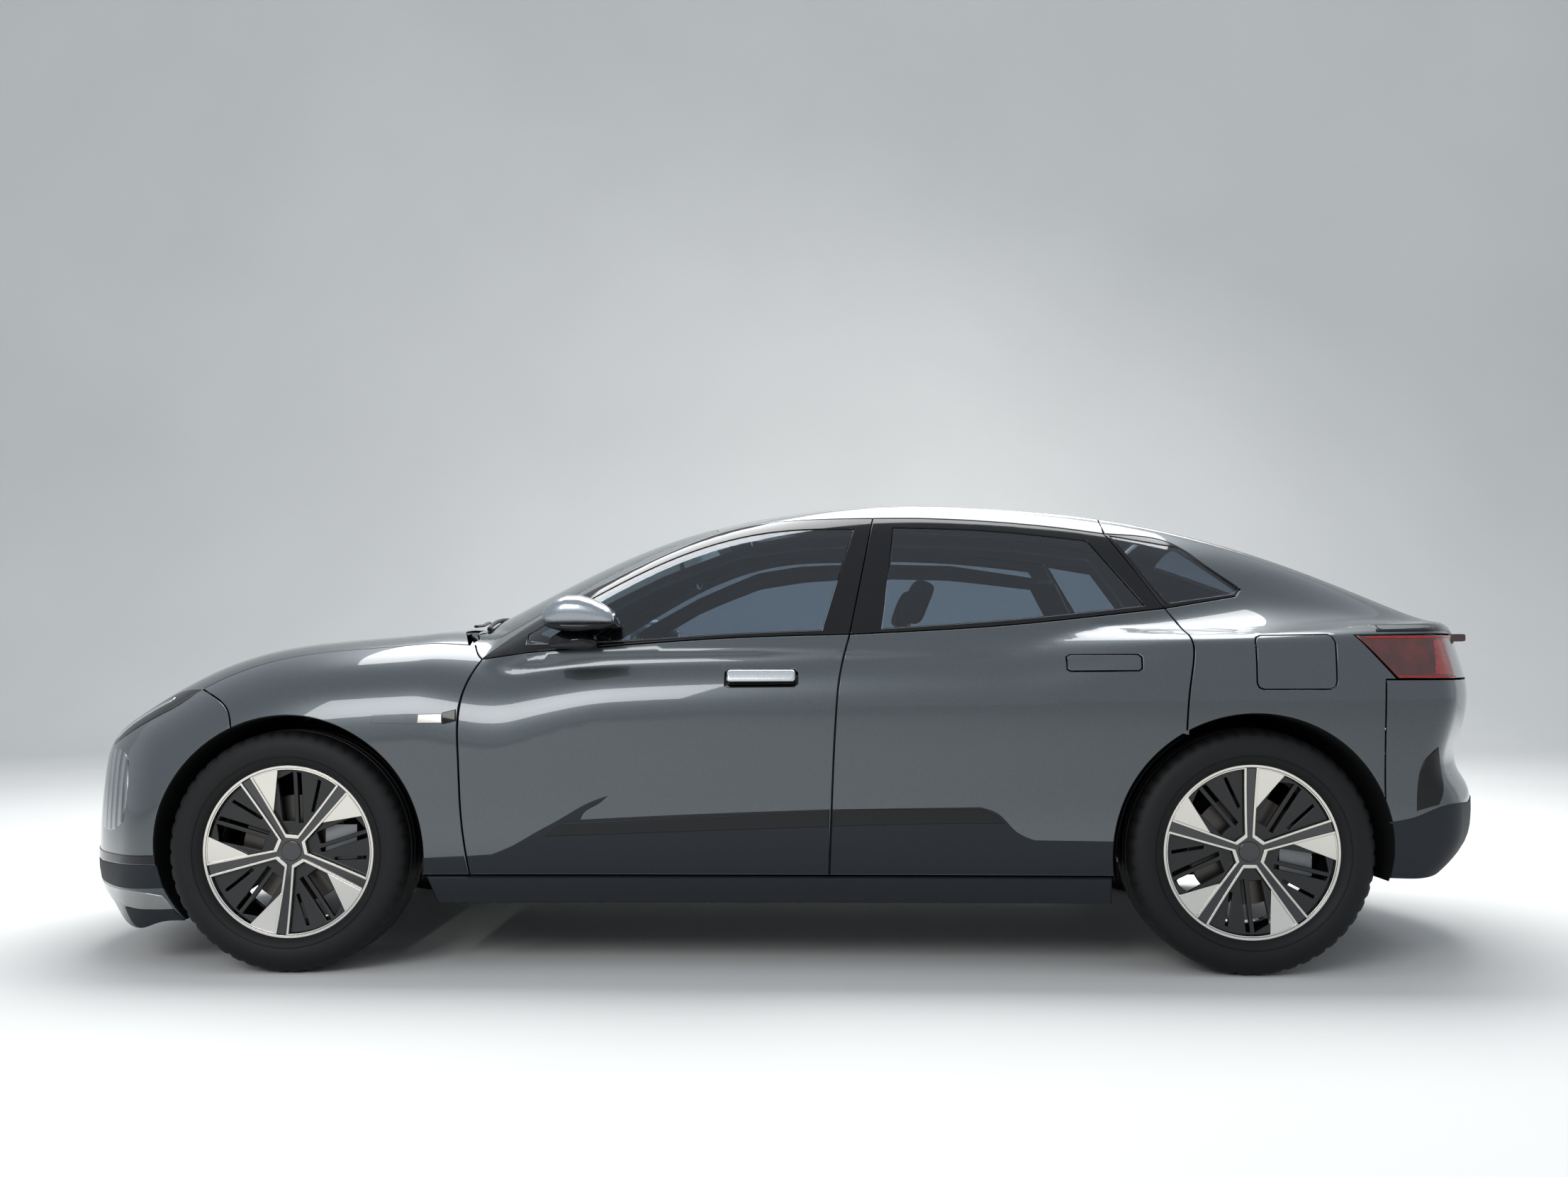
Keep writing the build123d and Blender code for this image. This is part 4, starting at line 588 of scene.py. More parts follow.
# ---------------------------------------------------------------- body side
# The welded body side shows as the painted windscreen pillar and roof rail above the doors, and as
# sheet steel round the door openings. A black moulded cover runs along the sill.
screen_side = [(-985, -735), (-800, -704), (-600, -660), (-400, -615), (-215, -556)]
roof_edge = [(-215, -556), (300, -562), (800, -556), (1062, -558)]
rail_view = Flat(0.2, 1, -1)
rail_outline = closed(side_loop(pillar_edge, rear_top_edge, [(1062, 1392), (1062, 1412)]),
                      from_above(roof_edge[::-1]), from_above(screen_side[::-1]),
                      from_above([(-985, -735), (-1003, -788)]),
                      from_side([(-985, 1030), (-955, 990), belt_front]))
pair("roof_rail", panel(rail_outline, rail_view, thick=14, gap=3), paint, "root", ["side_frame_SIDE"])
openings = [flat_loop([(-905, 372), (95, 372), (118, 700), (150, 1000), (208, 1380), (60, 1375),
                       (-130, 1352), (-400, 1250), (-640, 1118), (-880, 985), (-925, 860)]),
            flat_loop([(232, 372), (890, 372), (965, 560), (1150, 740), (1185, 1040), (1010, 1330),
                       (670, 1372), (372, 1380), (285, 1020), (245, 800)])]
ring = flat_loop([(-990, 315), (1020, 315), (1130, 680), (1262, 780), (1275, 1060), (1110, 1350),
                  (675, 1418), (305, 1428), (40, 1424), (-140, 1400), (-400, 1297), (-618, 1187),
                  (-905, 1006), (-975, 935), (-1000, 700)])
# Round the door openings, in the door shells and in the bonnet frame the body paint is drawn darker than on
# the outer panels: painted shade for steel that sits in gaps and under lids.
shade_darkened_body_steel = finish("body_paint_darkened_as_shade", "34393d", "3b4044", 0.4, 6, slot="body_paint", Metallic=0.5,
                     Coat_Weight=0.5)
frame_shape = panel(ring, door_view, openings, lift=-52, thick=42, roll=10, gap=0)
# Below the belt it lies behind the doors' inner faces, out of the way of their swinging front edges.
belt_height, moved_inward, fade = 1080, 90, 160
frame_shape[0][:, 1] += moved_inward * np.clip((belt_height - frame_shape[0][:, 2]) / fade, 0, 1)
pair("door_opening_frame", frame_shape, shade_darkened_body_steel)
sill_outline = side_loop([(-1112, 302), (1034, 302)], [(1034, 302), (1040, 210)], [(1040, 210), (-1080, 206)],
                         [(-1080, 206), (-1112, 302)], look=low_side)
pair("sill_cover", panel(sill_outline, side_view, skin=lower_body, lift=-6, thick=14, roll=8), grained_black)

# ---------------------------------------------------------------- rear quarters
# Each quarter is one large painted pressing from the roof down round the wheel to the tail lamp. It
# holds a fixed black-edged window, and on the left the charging flap.
quarter_window = side_loop([(1082, 1384), (1300, 1346)], [(1300, 1346), (1375, 1286), (1474, 1207)],
                           [(1474, 1207), (1460, 1190)], [(1460, 1190), (1238, 1158)],
                           [(1238, 1158), (1082, 1384)])
surround_top = [(1062, 1392), (1120, 1389), (1297, 1354), (1375, 1292), (1487, 1206)]
surround = side_loop(surround_top, [(1487, 1206), (1466, 1181)], [(1466, 1181), (1227, 1141)],
                     [(1227, 1141), (1062, 1392)])
bumper_edge = [(1855, 914), (1853, 700), (1855, 544)]
quarter_outline = closed(from_above([(1062, -558), (1400, -562), (1800, -562), (2175, -562)]),
                         side_loop([(2188, 1057), (1768, 1050)], [(1768, 1050), (1891, 914)],
                                   [(1891, 914), (1855, 914)], bumper_edge), arch(rear_axle, 22.3, 119.6),
                         side_loop(door_rear_edge[::-1], [(1227, 1141), (1466, 1181)],
                                   [(1466, 1181), (1487, 1206)], surround_top[::-1]))
flap_loop = flat_loop([(1462, 905), (1468, 891), (1482, 885), (1683, 885), (1697, 891), (1703, 905),
                       (1703, 1030), (1697, 1046), (1683, 1052), (1482, 1050), (1468, 1044), (1462, 1030)])
quarter_view, pane_view = Flat(-0.2, 1, -0.75), Flat(0, 1, -0.6)
piece("rear_quarter_panel_left", panel(quarter_outline, quarter_view, [flap_loop], thick=14), paint, "root",
      ["rear_quarter_left"])
piece("rear_quarter_panel_right", mirror_image(panel(quarter_outline, quarter_view, thick=14)), paint, "root",
      ["rear_quarter_right"])
piece("charging_flap", panel(flap_loop, side_view, gap=3.2), paint)
pair("quarter_surround", panel(surround, pane_view, [quarter_window], thick=20, gap=2), gloss_black)
pair("quarter_pane", panel(quarter_window, pane_view, lift=-2, gap=1, roll=0.8), tinted_glass, "root",
     ["quarter_glass"])

# ---------------------------------------------------------------- roof and windscreen
# The roof is a steel pressing round one large tinted glass panel. The laminated windscreen is
# bonded in, with a printed black border that hides the adhesive.
screen_top = [(-215, -556), (-236, -300), (-240, 0)]
top_view, screen_view = Flat(0, 0, -1), Flat(0.6, 0, -1)


def roof_loop(rear):
    """Outline of the roof back to a station."""
    return whole(from_above(screen_top[::-1]), from_above(roof_edge),
                 from_above([(1062, -558), (rear, -560)]), from_above([(rear, -560), (rear, 0)]))


roof_glass_outline = whole(from_above([(-150, 0), (-146, -300), (-128, -440), (-90, -470)]),
                           from_above([(-90, -470), (900, -474)]),
                           from_above([(900, -474), (980, -440), (1000, -300), (1004, 0)]))
piece("roof_skin", panel(roof_loop(1344), top_view, [roof_glass_outline], gap=3, spacing=30), paint, "root",
      ["roof_panel"])
# Laminated roof glass with a near-black tint and an infrared coating.
roof_glass = glass("dark_laminated_roof_glass", "20262c")
piece("roof_glass", panel(roof_glass_outline, top_view, gap=3, spacing=40), roof_glass)
screen_outline = whole(from_above([(-1078, 0), (-1062, -300), (-1015, -620), (-985, -735)]),
                       from_above(screen_side), from_above(screen_top))
clear_outline = whole(from_above([(-1020, 0), (-1004, -300), (-962, -600), (-925, -680)]),
                      from_above([(-925, -680), (-780, -655), (-580, -612), (-400, -570), (-270, -525)]),
                      from_above([(-270, -525), (-290, -300), (-294, 0)]))
windscreen_glass = glass("green_tinted_laminated_glass", "9db0ae")
piece("windscreen_glass", panel(screen_outline, screen_view, gap=3, spacing=34), windscreen_glass, "root",
      ["windscreen"])
# Ceramic frit printed on the inner face: dead black with a soft sheen.
frit = finish("printed_ceramic_frit", "060708", "0a0b0c", 0.35, 2, slot="tinted_glass")
piece("windscreen_border", panel(screen_outline, screen_view, [clear_outline], gap=4, lift=-5, thick=1.5,
                                 roll=0.4), frit)

# ---------------------------------------------------------------- tailgate
# One painted panel from the roof down to the bumper, with the back window bonded flush into it, a
# gloss black strip under its spoiler edge and a shallow place for the number plate.
gate_outline = whole(from_above([(1350, 0), (1350, -560)]), from_above([(1350, -560), (2180, -560)]),
                     from_behind([(-560, 1080), (-560, 900), (-560, 707)]),
                     from_behind([(-560, 707), (0, 707)]))
back_pane = whole(from_above([(1470, 0), (1474, -300), (1490, -500)]),
                  from_above([(1490, -500), (1800, -516), (2080, -500)]),
                  from_above([(2080, -500), (2130, -300), (2144, 0)]))
gate_view = Flat(-1, 0, -0.9)
piece("tailgate_skin", panel(gate_outline, gate_view, [back_pane], thick=16, spacing=20), paint, "tailgate",
      ["tailgate"])
piece("back_window", panel(back_pane, gate_view, gap=3), tinted_glass, "tailgate")

# ---------------------------------------------------------------- bumpers
# Front and rear bumpers are painted plastic skins wrapped round the corners, with grained black
# lower halves, gloss black inserts at the corners and a silver lip under the nose. The black of the
# rear corner vents is partly their plastic and partly painted shade of their deep recesses.
nose_view, tail_view = Turned(-1500, -1), Turned(1500, 1)


def on_nose(outline, **shape):
    return panel(outline, nose_view, skin=lower_body, **shape)


def nose_band(*lines):
    """Loop round the nose between two lines, each given as side points and front points."""
    return band(*[np.vstack([low_side(side), from_front(front)]) for side, front in lines])


nose_outline = whole(bonnet_front[::-1], low_side(wing_front[::-1]), arch(front_axle, 114.7, 212),
                     low_side([(-1900, 150), (-1998, 140), (-2072, 118), (-2190, 186)]),
                     from_front([(-745, 190), (-600, 212), (-300, 235), (0, 240)]))
piece("front_bumper_skin", on_nose(nose_outline, thick=8, spacing=20), paint, "root", ["front_bumper"])
grey_band = nose_band(([(-1964, 338), (-2100, 334), (-2230, 326)], [(-690, 322), (-300, 320), (0, 320)]),
                      ([(-1952, 262), (-2100, 256), (-2200, 254)], [(-715, 254), (-300, 252), (0, 252)]))
piece("front_lower_skin", on_nose(grey_band, lift=on_cladding, gap=0), grained_black)
dark_band = nose_band(([(-1966, 370), (-2100, 364), (-2230, 358)], [(-690, 356), (-300, 354), (0, 354)]),
                      ([(-1966, 340), (-2100, 336), (-2230, 328)], [(-690, 324), (-300, 322), (0, 322)]))
piece("front_dark_stripe", on_nose(dark_band, lift=3, gap=0), gloss_black)
lip = nose_band(([(-1960, 236), (-2050, 250), (-2200, 250)], [(-716, 250), (-300, 250), (0, 250)]),
                ([(-1930, 190), (-2040, 186), (-2180, 206)], [(-748, 212), (-300, 240), (0, 244)]))
silver_lip = finish("painted_silver_plastic", "8d8f8f", "9b9c9b", 0.3, 1.5, 0, "TexVoronoi", Metallic=0.8,
                    Coat_Weight=0.6)
piece("front_lip", on_nose(lip, lift=2, gap=0, thick=9, roll=4), silver_lip)
deflector = side_loop([(-1936, 190), (-2110, 190)], [(-2110, 190), (-2072, 124), (-1998, 142), (-1905, 152)],
                      [(-1905, 152), (-1936, 190)], look=low_side)
pair("front_deflector", on_nose(deflector, lift=4, gap=0, thick=12), grained_black)

tail_outline = whole(from_behind([(0, 707), (-560, 707)]), from_behind([(-560, 707), (-560, 914)]),
                     from_behind([(-560, 914), (-740, 914)]), from_side([(2170, 914), (1855, 914)]),
                     from_side(bumper_edge), arch(rear_axle, 22.3, -11),
                     from_side([(1879, 300), (2018, 300), (2180, 344)]),
                     from_behind([(-720, 350), (-300, 352), (0, 352)]))
piece("rear_bumper_skin", panel(tail_outline, tail_view, thick=8, spacing=20), paint, "root", ["rear_bumper"])
rear_upper = np.vstack([from_side([(1863, 478), (1951, 494), (2037, 526), (2190, 521)]),
                        from_behind([(-738, 521), (-300, 523), (0, 523)])])
rear_lower = np.vstack([arch(rear_axle, 12, -10.5), from_side([(1881, 304), (2018, 304), (2180, 348)]),
                        from_behind([(-720, 354), (-300, 356), (0, 356)])])
piece("rear_lower_skin", panel(band(rear_upper, rear_lower), tail_view, lift=on_cladding, gap=0),
      grained_black)
# Each rear corner vent is a flat black sheet on the skin where the bumper has a deep vent: its black is
# partly the vent's plastic, partly painted shade of the recess.
corner_vent_and_recess_shade = side_loop([(1953, 512), (1956, 600), (1972, 660), (2022, 706)],
                        [(2022, 706), (2036, 640), (2036, 560), (2024, 530)], [(2024, 530), (1953, 512)])
pair("rear_corner_vent", panel(corner_vent_and_recess_shade, tail_view, lift=on_cladding, gap=0), satin_insert_and_vent_shade)

# ---------------------------------------------------------------- lamps
# Tail lamps are dark red lenses bonded flush at the corners, joined by a thin red bar that stands
# out of the tailgate. The headlamps are black pointed strips under the bonnet edge, with a field of
# ribbed optics at each corner below.
red_lens = finish("dark_red_moulded_lens", "2c0806", "5a1a0e", 0.08, 70, 0, "TexNoise", (1, 0.4, 1),
                  slot="tail_lamp_red", IOR=1.49, Coat_Weight=1.0, Coat_Roughness=0.02)
tail_lens = closed(side_loop([(1770, 1049), (1893, 917)], [(1893, 917), (2100, 917)],
                             [(2100, 917), (2176, 917)]),
                   from_behind([(-700, 917), (-566, 917)]), from_behind([(-566, 917), (-566, 1052)]),
                   from_behind([(-566, 1052), (-680, 1052)]), from_side([(2160, 1053), (1770, 1049)]))
pair("tail_lamp", panel(tail_lens, tail_view, gap=2, thick=10), red_lens, "root", ["tail_lamps"])
# Red light guide behind the lens, seen as two thin lines along its edges.
red_guide = finish("red_light_guide", "6c1210", "8a1c16", 0.2, 20, 0, slot="tail_lamp_red",
                   Emission_Color=linear("e01820"), Emission_Strength=0.12)
# Reflector field inside the lens: a lighter red block towards the rear.
reflector = finish("red_prismatic_reflector", "7c180e", "962212", 0.25, 9, 0.5, "TexVoronoi",
                   slot="tail_lamp_red", Coat_Weight=1.0)


def strip(upper, lower, view, lift, look=from_side, skin=body):
    """Narrow panel between two neighbouring lines on a skin."""
    return panel(closed(look(upper), look(lower)[::-1]), view, skin=skin, gap=0, lift=lift, thick=3.0,
                 roll=0.8, spacing=14)


for name, surface, lift, upper, lower in (
        ("lower_guide", red_guide, 1.2, [(1891, 926), (2105, 925)], [(1896, 920), (2107, 919)]),
        ("upper_guide", red_guide, 1.2, [(1800, 1045), (2150, 1047)], [(1806, 1039), (2152, 1041)]),
        ("reflector", reflector, 0.8, [(2010, 1034), (2090, 1035)], [(2010, 930), (2090, 930)])):
    pair("tail_lamp_" + name, strip(upper, lower, tail_view, lift), surface)
spoiler_strip = side_loop([(1838, 1062), (2168, 1063)], [(2168, 1063), (2160, 1086)],
                          [(2160, 1086), (1850, 1084)], [(1850, 1084), (1838, 1062)])
pair("spoiler_edge_trim", panel(spoiler_strip, side_view, gap=0, lift=2), gloss_black)


def loft(rings, caps=True):
    """Closed form through rings of equally many points."""
    count = len(rings[0])
    faces = []
    for k in range(len(rings) - 1):
        for i in range(count):
            j = (i + 1) % count
            faces.append([k * count + i, k * count + j, (k + 1) * count + j, (k + 1) * count + i])
    if caps:
        faces.append(list(range(count))[::-1])
        faces.append([(len(rings) - 1) * count + i for i in range(count)])
    return np.vstack(rings), faces, None


def ring_loft(rings):
    """Closed form through rings that come back to the first one."""
    points, faces, _ = loft(rings + [rings[0]], caps=False)
    count = len(rings) * len(rings[0])
    return points[:count], [[i % count for i in face] for face in faces], None


def crisp(made, degrees):
    """Keeps edges sharper than an angle crisp on one piece or a pair."""
    for one in made if isinstance(made, list) else [made]:
        one.data.set_sharp_from_angle(angle=math.radians(degrees))


def squared(angle, power):
    """Cosine and sine of a rounded square."""
    return [math.copysign(abs(v) ** power, v) for v in (math.cos(angle), math.sin(angle))]


def rounded_bar(centres, half_height, half_depth, directions):
    """Bar of rounded section through centres; depth runs along each direction, height is upright."""
    rings = []
    for centre, ahead in zip(centres, directions):
        corners = [squared(angle, 0.35) for angle in np.radians(np.arange(0, 360, 15))]
        rings.append(np.array([np.array(centre) + np.array(ahead) * half_depth * c +
                               np.array([0, 0, half_height * s]) for c, s in corners]))
    return loft(rings)


bar_half, bar_height = 560, 1048
bar_ys = np.linspace(-bar_half, bar_half, 41)
gate_back = from_behind([(y, bar_height) for y in bar_ys], smooth=False)
gate_back = np.array([gate_back[np.argmin(abs(gate_back[:, 1] - y))] for y in bar_ys])
bar_out = [(0.99, 0.2 * y / bar_half, 0) for y in bar_ys]
for name, surface, stand, half_height, half_depth, nodes in (
        ("lens", red_lens, 14, 12.5, 26, ["tail_light_bar"]), ("guide", red_guide, 34, 3.5, 7.5, [])):
    centres = [(p[0] + stand, p[1], bar_height + 0.5) for p in gate_back]
    bar = rounded_bar(centres, half_height, half_depth, bar_out)
    crisp(piece("tail_light_bar_" + name, bar, surface, "tailgate", nodes), 40)

# Headlamp strip: a gloss black housing with one bright aluminised blade.
head_lamp = side_loop([(-1872, 890), (-1960, 884), (-2060, 846), (-2160, 786), (-2232, 731)],
                      [(-2232, 700), (-2140, 742), (-2040, 792), (-1944, 838), (-1880, 884)], look=low_side)
pair("headlamp_strip", on_nose(head_lamp, gap=0, lift=1.6, spacing=16), gloss_black, "root", ["headlamps"])
chromed = finish("vacuum_metallised_reflector", "dfe3e6", "eef0f2", 0.12, 5, slot="lamp_lens", Metallic=1.0)
pair("headlamp_blade", strip([(-1985, 862), (-2070, 824), (-2160, 770), (-2215, 731)],
                             [(-1990, 850), (-2072, 812), (-2160, 760), (-2213, 724)],
                             nose_view, 3.0, low_side, lower_body), chromed)
lamp_field = side_loop([(-2206, 690), (-2120, 684), (-2094, 660)], [(-2094, 660), (-2082, 560), (-2100, 470)],
                       [(-2100, 470), (-2150, 440), (-2242, 436)], [(-2242, 436), (-2238, 560), (-2206, 690)],
                       look=low_side)
lamp_optics = finish("ribbed_lamp_optics", "3c4247", "9aa2a8", 0.16, 34, 3.0, "TexWave", (0.3, 0.3, 1),
                     slot="lamp_lens", Metallic=0.9, Coat_Weight=1.0, Coat_Roughness=0.02)
pair("lower_lamp_lens", on_nose(lamp_field, gap=0, lift=1.8, spacing=14), lamp_optics)

# ---------------------------------------------------------------- wing camera strip
# A slim painted strip let into each wing behind the wheel. It has a bright end and a black camera
# housing beside the door.
bright = finish("satin_anodised_aluminium", "b9b6ae", "c8c5bd", 0.28, 2, Metallic=1.0)
for name, surface, points, lift, thick, roll in (
        ("wing_strip", paint, [(-1268, 784), (-1262, 812), (-1048, 815), (-1045, 784)], 1.5, 4, 1.2),
        ("wing_strip_end", bright, [(-1122, 786), (-1120, 812), (-1048, 813), (-1046, 786)], 3.5, 4, 1.5),
        ("wing_camera", gloss_black, [(-1044, 782), (-1046, 818), (-1004, 828), (-1003, 792)], 5.5, 9, 3)):
    pair(name, panel(flat_loop(points), side_view, gap=0, lift=lift, thick=thick, roll=roll), surface)

# ---------------------------------------------------------------- door mirrors
# Each mirror is a silver-painted cap over a black lower shell on a short black foot, with a flat
# silvered glass facing back. A section is x, top, underside, outer and inner y.
cap_grey = finish("silver_grey_metallic_paint", "8b9096", "9aa0a6", 0.28, 1.5, 0, "TexVoronoi",
                  slot="mirror_cap", Metallic=0.8, Coat_Weight=1.0, Coat_Roughness=0.03)
mirror_sections = [(-726, 1118, 1104, -1012, -984), (-721, 1132, 1095, -1030, -960),
                   (-706, 1151, 1087, -1049, -925), (-680, 1170, 1082, -1062, -902),
                   (-645, 1182, 1080, -1067, -890), (-605, 1181, 1080, -1067, -886),
                   (-565, 1168, 1081, -1065, -886), (-530, 1149, 1083, -1061, -890),
                   (-503, 1130, 1086, -1055, -897)]


def mirror_ring(x, top, low, outer, inner):
    """Rounded section of the mirror across the car."""
    return np.array([(x, (outer + inner) / 2 + (outer - inner) / 2 * c, (top + low) / 2 + (top - low) / 2 * s)
                     for c, s in [squared(angle, 0.72) for angle in np.radians(np.arange(0, 360, 12))]])


shell = loft([mirror_ring(x + 3, 1098, low - 15 + abs(x + 620) * 0.08, outer + 6, inner - 6)
              for x, _, low, outer, inner in mirror_sections[1:]])
foot = loft([np.array([(x + (z - 1040) * -0.15, y, z) for x, z in
                       [(-705, 1016), (-600, 1012), (-568, 1020), (-562, 1034), (-575, 1052), (-610, 1072),
                        (-665, 1072), (-700, 1052), (-712, 1030)]]) for y in (-878, -900, -930, -962, -985)])
silvered = finish("silvered_mirror_glass", "d9dde0", "e2e5e8", 0.03, 400, rough_spread=0.01, Metallic=1.0)
glass_ring = mirror_ring(-501, 1126, 1090, -1050, -902)
pair("mirror_cap", loft([mirror_ring(*row) for row in mirror_sections]), cap_grey, "door_front_SIDE",
     ["door_mirror_SIDE"])
pair("mirror_shell", shell, gloss_black, "door_front_SIDE")
pair("mirror_foot", foot, gloss_black, "door_front_SIDE")
pair("mirror_glass", loft([glass_ring, glass_ring + [2.5, 0, 0]]), silvered, "door_front_SIDE", ())

# ---------------------------------------------------------------- wheels
# Cast aluminium wheels, black gloss painted, whose face is machined back to bright metal along the
# rim, along both edges of each spoke and on one wedge a spoke. Inside are aero vanes.
wheel_black = finish("black_gloss_painted_casting", "08090b", "0d0e11", 0.16, 30, slot="wheel_alloy",
                     Coat_Weight=1.0, Coat_Roughness=0.04)
vane_grey = finish("dark_grey_moulded_vane", "111111", "181818", 0.34, 2, 0.05, slot="wheel_alloy")
machined = finish("diamond_turned_aluminium", "d6d2ca", "e6e2da", 0.22, 0.8, slot="wheel_alloy", Metallic=1.0)
rubber = finish("moulded_tyre_rubber", "09090a", "0e0e0f", 0.6, 2.5, 0.15, slot="tyre_rubber",
                Specular_IOR_Level=0.3)
iron = finish("ground_cast_iron", "4a4744", "5c5854", 0.38, 1.2, Metallic=1.0)
spoke_turn = 72
face_hollow = 24
hollow_radius = 272
rim_line = 263.0
full_circle = (0, 357)


def around(radius, degrees, aside=0.0):
    """Wheel-plane point at a radius, moved sideways (counter-clockwise positive)."""
    a = math.radians(degrees)
    return radius * math.cos(a) - aside * math.sin(a), radius * math.sin(a) + aside * math.cos(a)


def arc(radius, start, end):
    return [around(radius, a) for a in np.linspace(start, end, max(int(abs(end - start) / 3), 1) + 1)]


def half_channel(radius):
    """Half the width of a spoke at a radius."""
    return 9 + 8 * (radius - 45) / 217


def sector(low, margin, rim):
    """Outline of one window between two spokes, drawn inwards by margin."""
    high = low + spoke_turn
    outer = half_channel(rim) + margin
    turn = math.degrees(math.asin(outer / rim))
    inner = 46 + margin * 1.2
    return (arc(rim, low + turn, high - turn) +
            [around(r, high, -half_channel(r) - margin) for r in (150, inner)] +
            [around(r, low, half_channel(r) + margin) for r in (inner, 150)])


class Dish:
    """Slightly hollow wheel face about an axle, standing to the left."""

    def __init__(self, x, face):
        self.x, self.face = x, face

    def __call__(self, x, y, z):
        radius = np.hypot(x - self.x, z - wheel_height)
        return -y - (self.face - face_hollow * (1 - (np.minimum(radius, 290) / hollow_radius) ** 2))

    def laid(self, points):
        flat = drawn(list(points) + [points[0]], smooth=False, spacing=8.0)[:-1]
        depth = self.face - face_hollow * (1 - (np.hypot(*flat.T) / hollow_radius) ** 2)
        return np.array([flat[:, 0] + self.x, -depth, flat[:, 1] + wheel_height]).T

    def part(self, outline, lift, thick, roll, spacing=12, holes=()):
        """Part of the wheel face from wheel-plane outlines."""
        return panel(self.laid(outline), side_view, [self.laid(hole) for hole in holes], skin=self, gap=0,
                     lift=lift, thick=thick, roll=roll, spacing=spacing)


def joined(shapes):
    """Several shapes as one."""
    start = 0
    points, faces, normals = [], [], []
    for p, f, n in shapes:
        points.append(p)
        faces += [[i + start for i in face] for face in f]
        normals.append(n if n is not None else np.zeros_like(p))
        start += len(p)
    return np.vstack(points), faces, None if shapes[0][2] is None else np.vstack(normals)


def revolved(x, profile, steps=96):
    """Closed ring turned about an axle from (radius, y) points."""
    return ring_loft([np.array([(x + r * math.cos(a), y, wheel_height + r * math.sin(a)) for r, y in profile])
                      for a in [2 * math.pi * k / steps for k in range(steps)]])


def recoat(surface, *names):
    """Gives solids that keep their shape another surface."""
    for name in names:
        for place in frame["nodes"][name].material_slots:
            place.material = surface


# Profiles as radius and y: the barrel and rim flanges, the tyre with its four tread grooves, and
# the fine rib on its wall.
barrel_profile = [(271, -950), (262, -949), (256, -938), (250, -915), (236, -890), (234, -800),
                  (252, -772), (258, -744), (271, -740), (271, -746), (262, -752), (257, -780),
                  (240, -806), (241, -890), (256, -918), (262, -940)]
tyre_profile = [(268, -946), (272, -955), (284, -966), (300, -975), (322, -979), (342, -977), (358, -971),
                (369, -962), (376, -950), (379, -936), (380.3, -921), (374, -918), (374, -911), (381, -908),
                (381.4, -886), (374, -883), (374, -875), (381.5, -872), (381.5, -855), (381.5, -831),
                (374, -828), (374, -820), (381.4, -817), (381, -795), (374, -792), (374, -785), (380.3, -782),
                (379, -767), (376, -753), (369, -741), (358, -732), (342, -726), (322, -724), (300, -728),
                (284, -737), (272, -748), (268, -757), (264, -757), (264, -946)]
rib_profile = [(296, -975.5), (297.5, -977), (299, -975.5), (297.5, -974)]
vane_slots = [[(-40, 224), (8, 246), (8, 92), (-30, 92)], [(22, 246), (34, 243), (34, 86), (22, 86)],
              [(88, 222), (96, 218), (70, 120), (62, 122)]]
tyre_steps, notch_every, notch_depth = 192, 4, 5.0

for axle, axle_x, first_spoke in (("front", front_axle, 49), ("rear", rear_axle, 18)):
    dish = Dish(axle_x, 951)
    lows = [first_spoke + spoke_turn * k for k in range(5)]
    bright_parts = [dish.part(arc(271, *full_circle), 1.5, 12, 1.0, holes=[arc(rim_line, *full_circle)])]
    vane_parts = []
    for low in lows:
        high = low + spoke_turn
        bright_parts.append(dish.part(sector(low, -1.5, rim_line - 1), 1.5, 16, 1.0,
                                      holes=[sector(low, 5.5, rim_line - 5)]))
        wedge = [around(rim_line - 4, high, -half_channel(rim_line) - 5),
                 around(132, high, -half_channel(132) - 5)]
        wedge += [around(rim_line - 4, high - 23.5)] + arc(rim_line - 4, high - 23.5, high - 5.4)[1:]
        bright_parts.append(dish.part(wedge, -1, 18, 2.0, 14))
        turn = math.radians(high - 121)
        placed = [[(u * math.cos(turn) - v * math.sin(turn), u * math.sin(turn) + v * math.cos(turn))
                   for u, v in slot] for slot in vane_slots]
        vane_parts.append(dish.part(sector(low, 5, rim_line - 4), -15, 14, 3.0, 16, placed))
    windows = [sector(low, 2, rim_line - 2) for low in lows]
    dark_parts = [dish.part(arc(rim_line + 1, *full_circle), -5, 30, 2.0, 14, windows),
                  dish.part(arc(33, 0, 350), -1, 14, 5, 10)]
    ride = "wheel_%s_SIDE" % axle
    pair("wheel_face_" + axle, joined(bright_parts), machined, ride, [ride])
    pair("wheel_web_" + axle, joined(dark_parts), wheel_black, ride)
    pair("wheel_vanes_" + axle, joined(vane_parts), vane_grey, ride)
    crisp(pair("wheel_barrel_" + axle, revolved(axle_x, barrel_profile), wheel_black, ride), 35)
    tyre = revolved(axle_x, tyre_profile, steps=tyre_steps)
    for k in range(0, tyre_steps, notch_every):
        for i, (r, y) in enumerate(tyre_profile):
            if 368 < r < 380.9 and (y < -921 or y > -782):
                p = tyre[0][k * len(tyre_profile) + i]
                middle = np.array([axle_x, p[1], wheel_height])
                tyre[0][k * len(tyre_profile) + i] = middle + (p - middle) * (1 - notch_depth / r)
    crisp(pair("tyre_cover_" + axle, tyre, rubber, ride, ["tyre_%s_SIDE" % axle]), 30)
    pair("tyre_rib_" + axle, revolved(axle_x, rib_profile, steps=120), rubber, ride)
    recoat(iron, "brake_disc_%s_left" % axle, "brake_disc_%s_right" % axle)

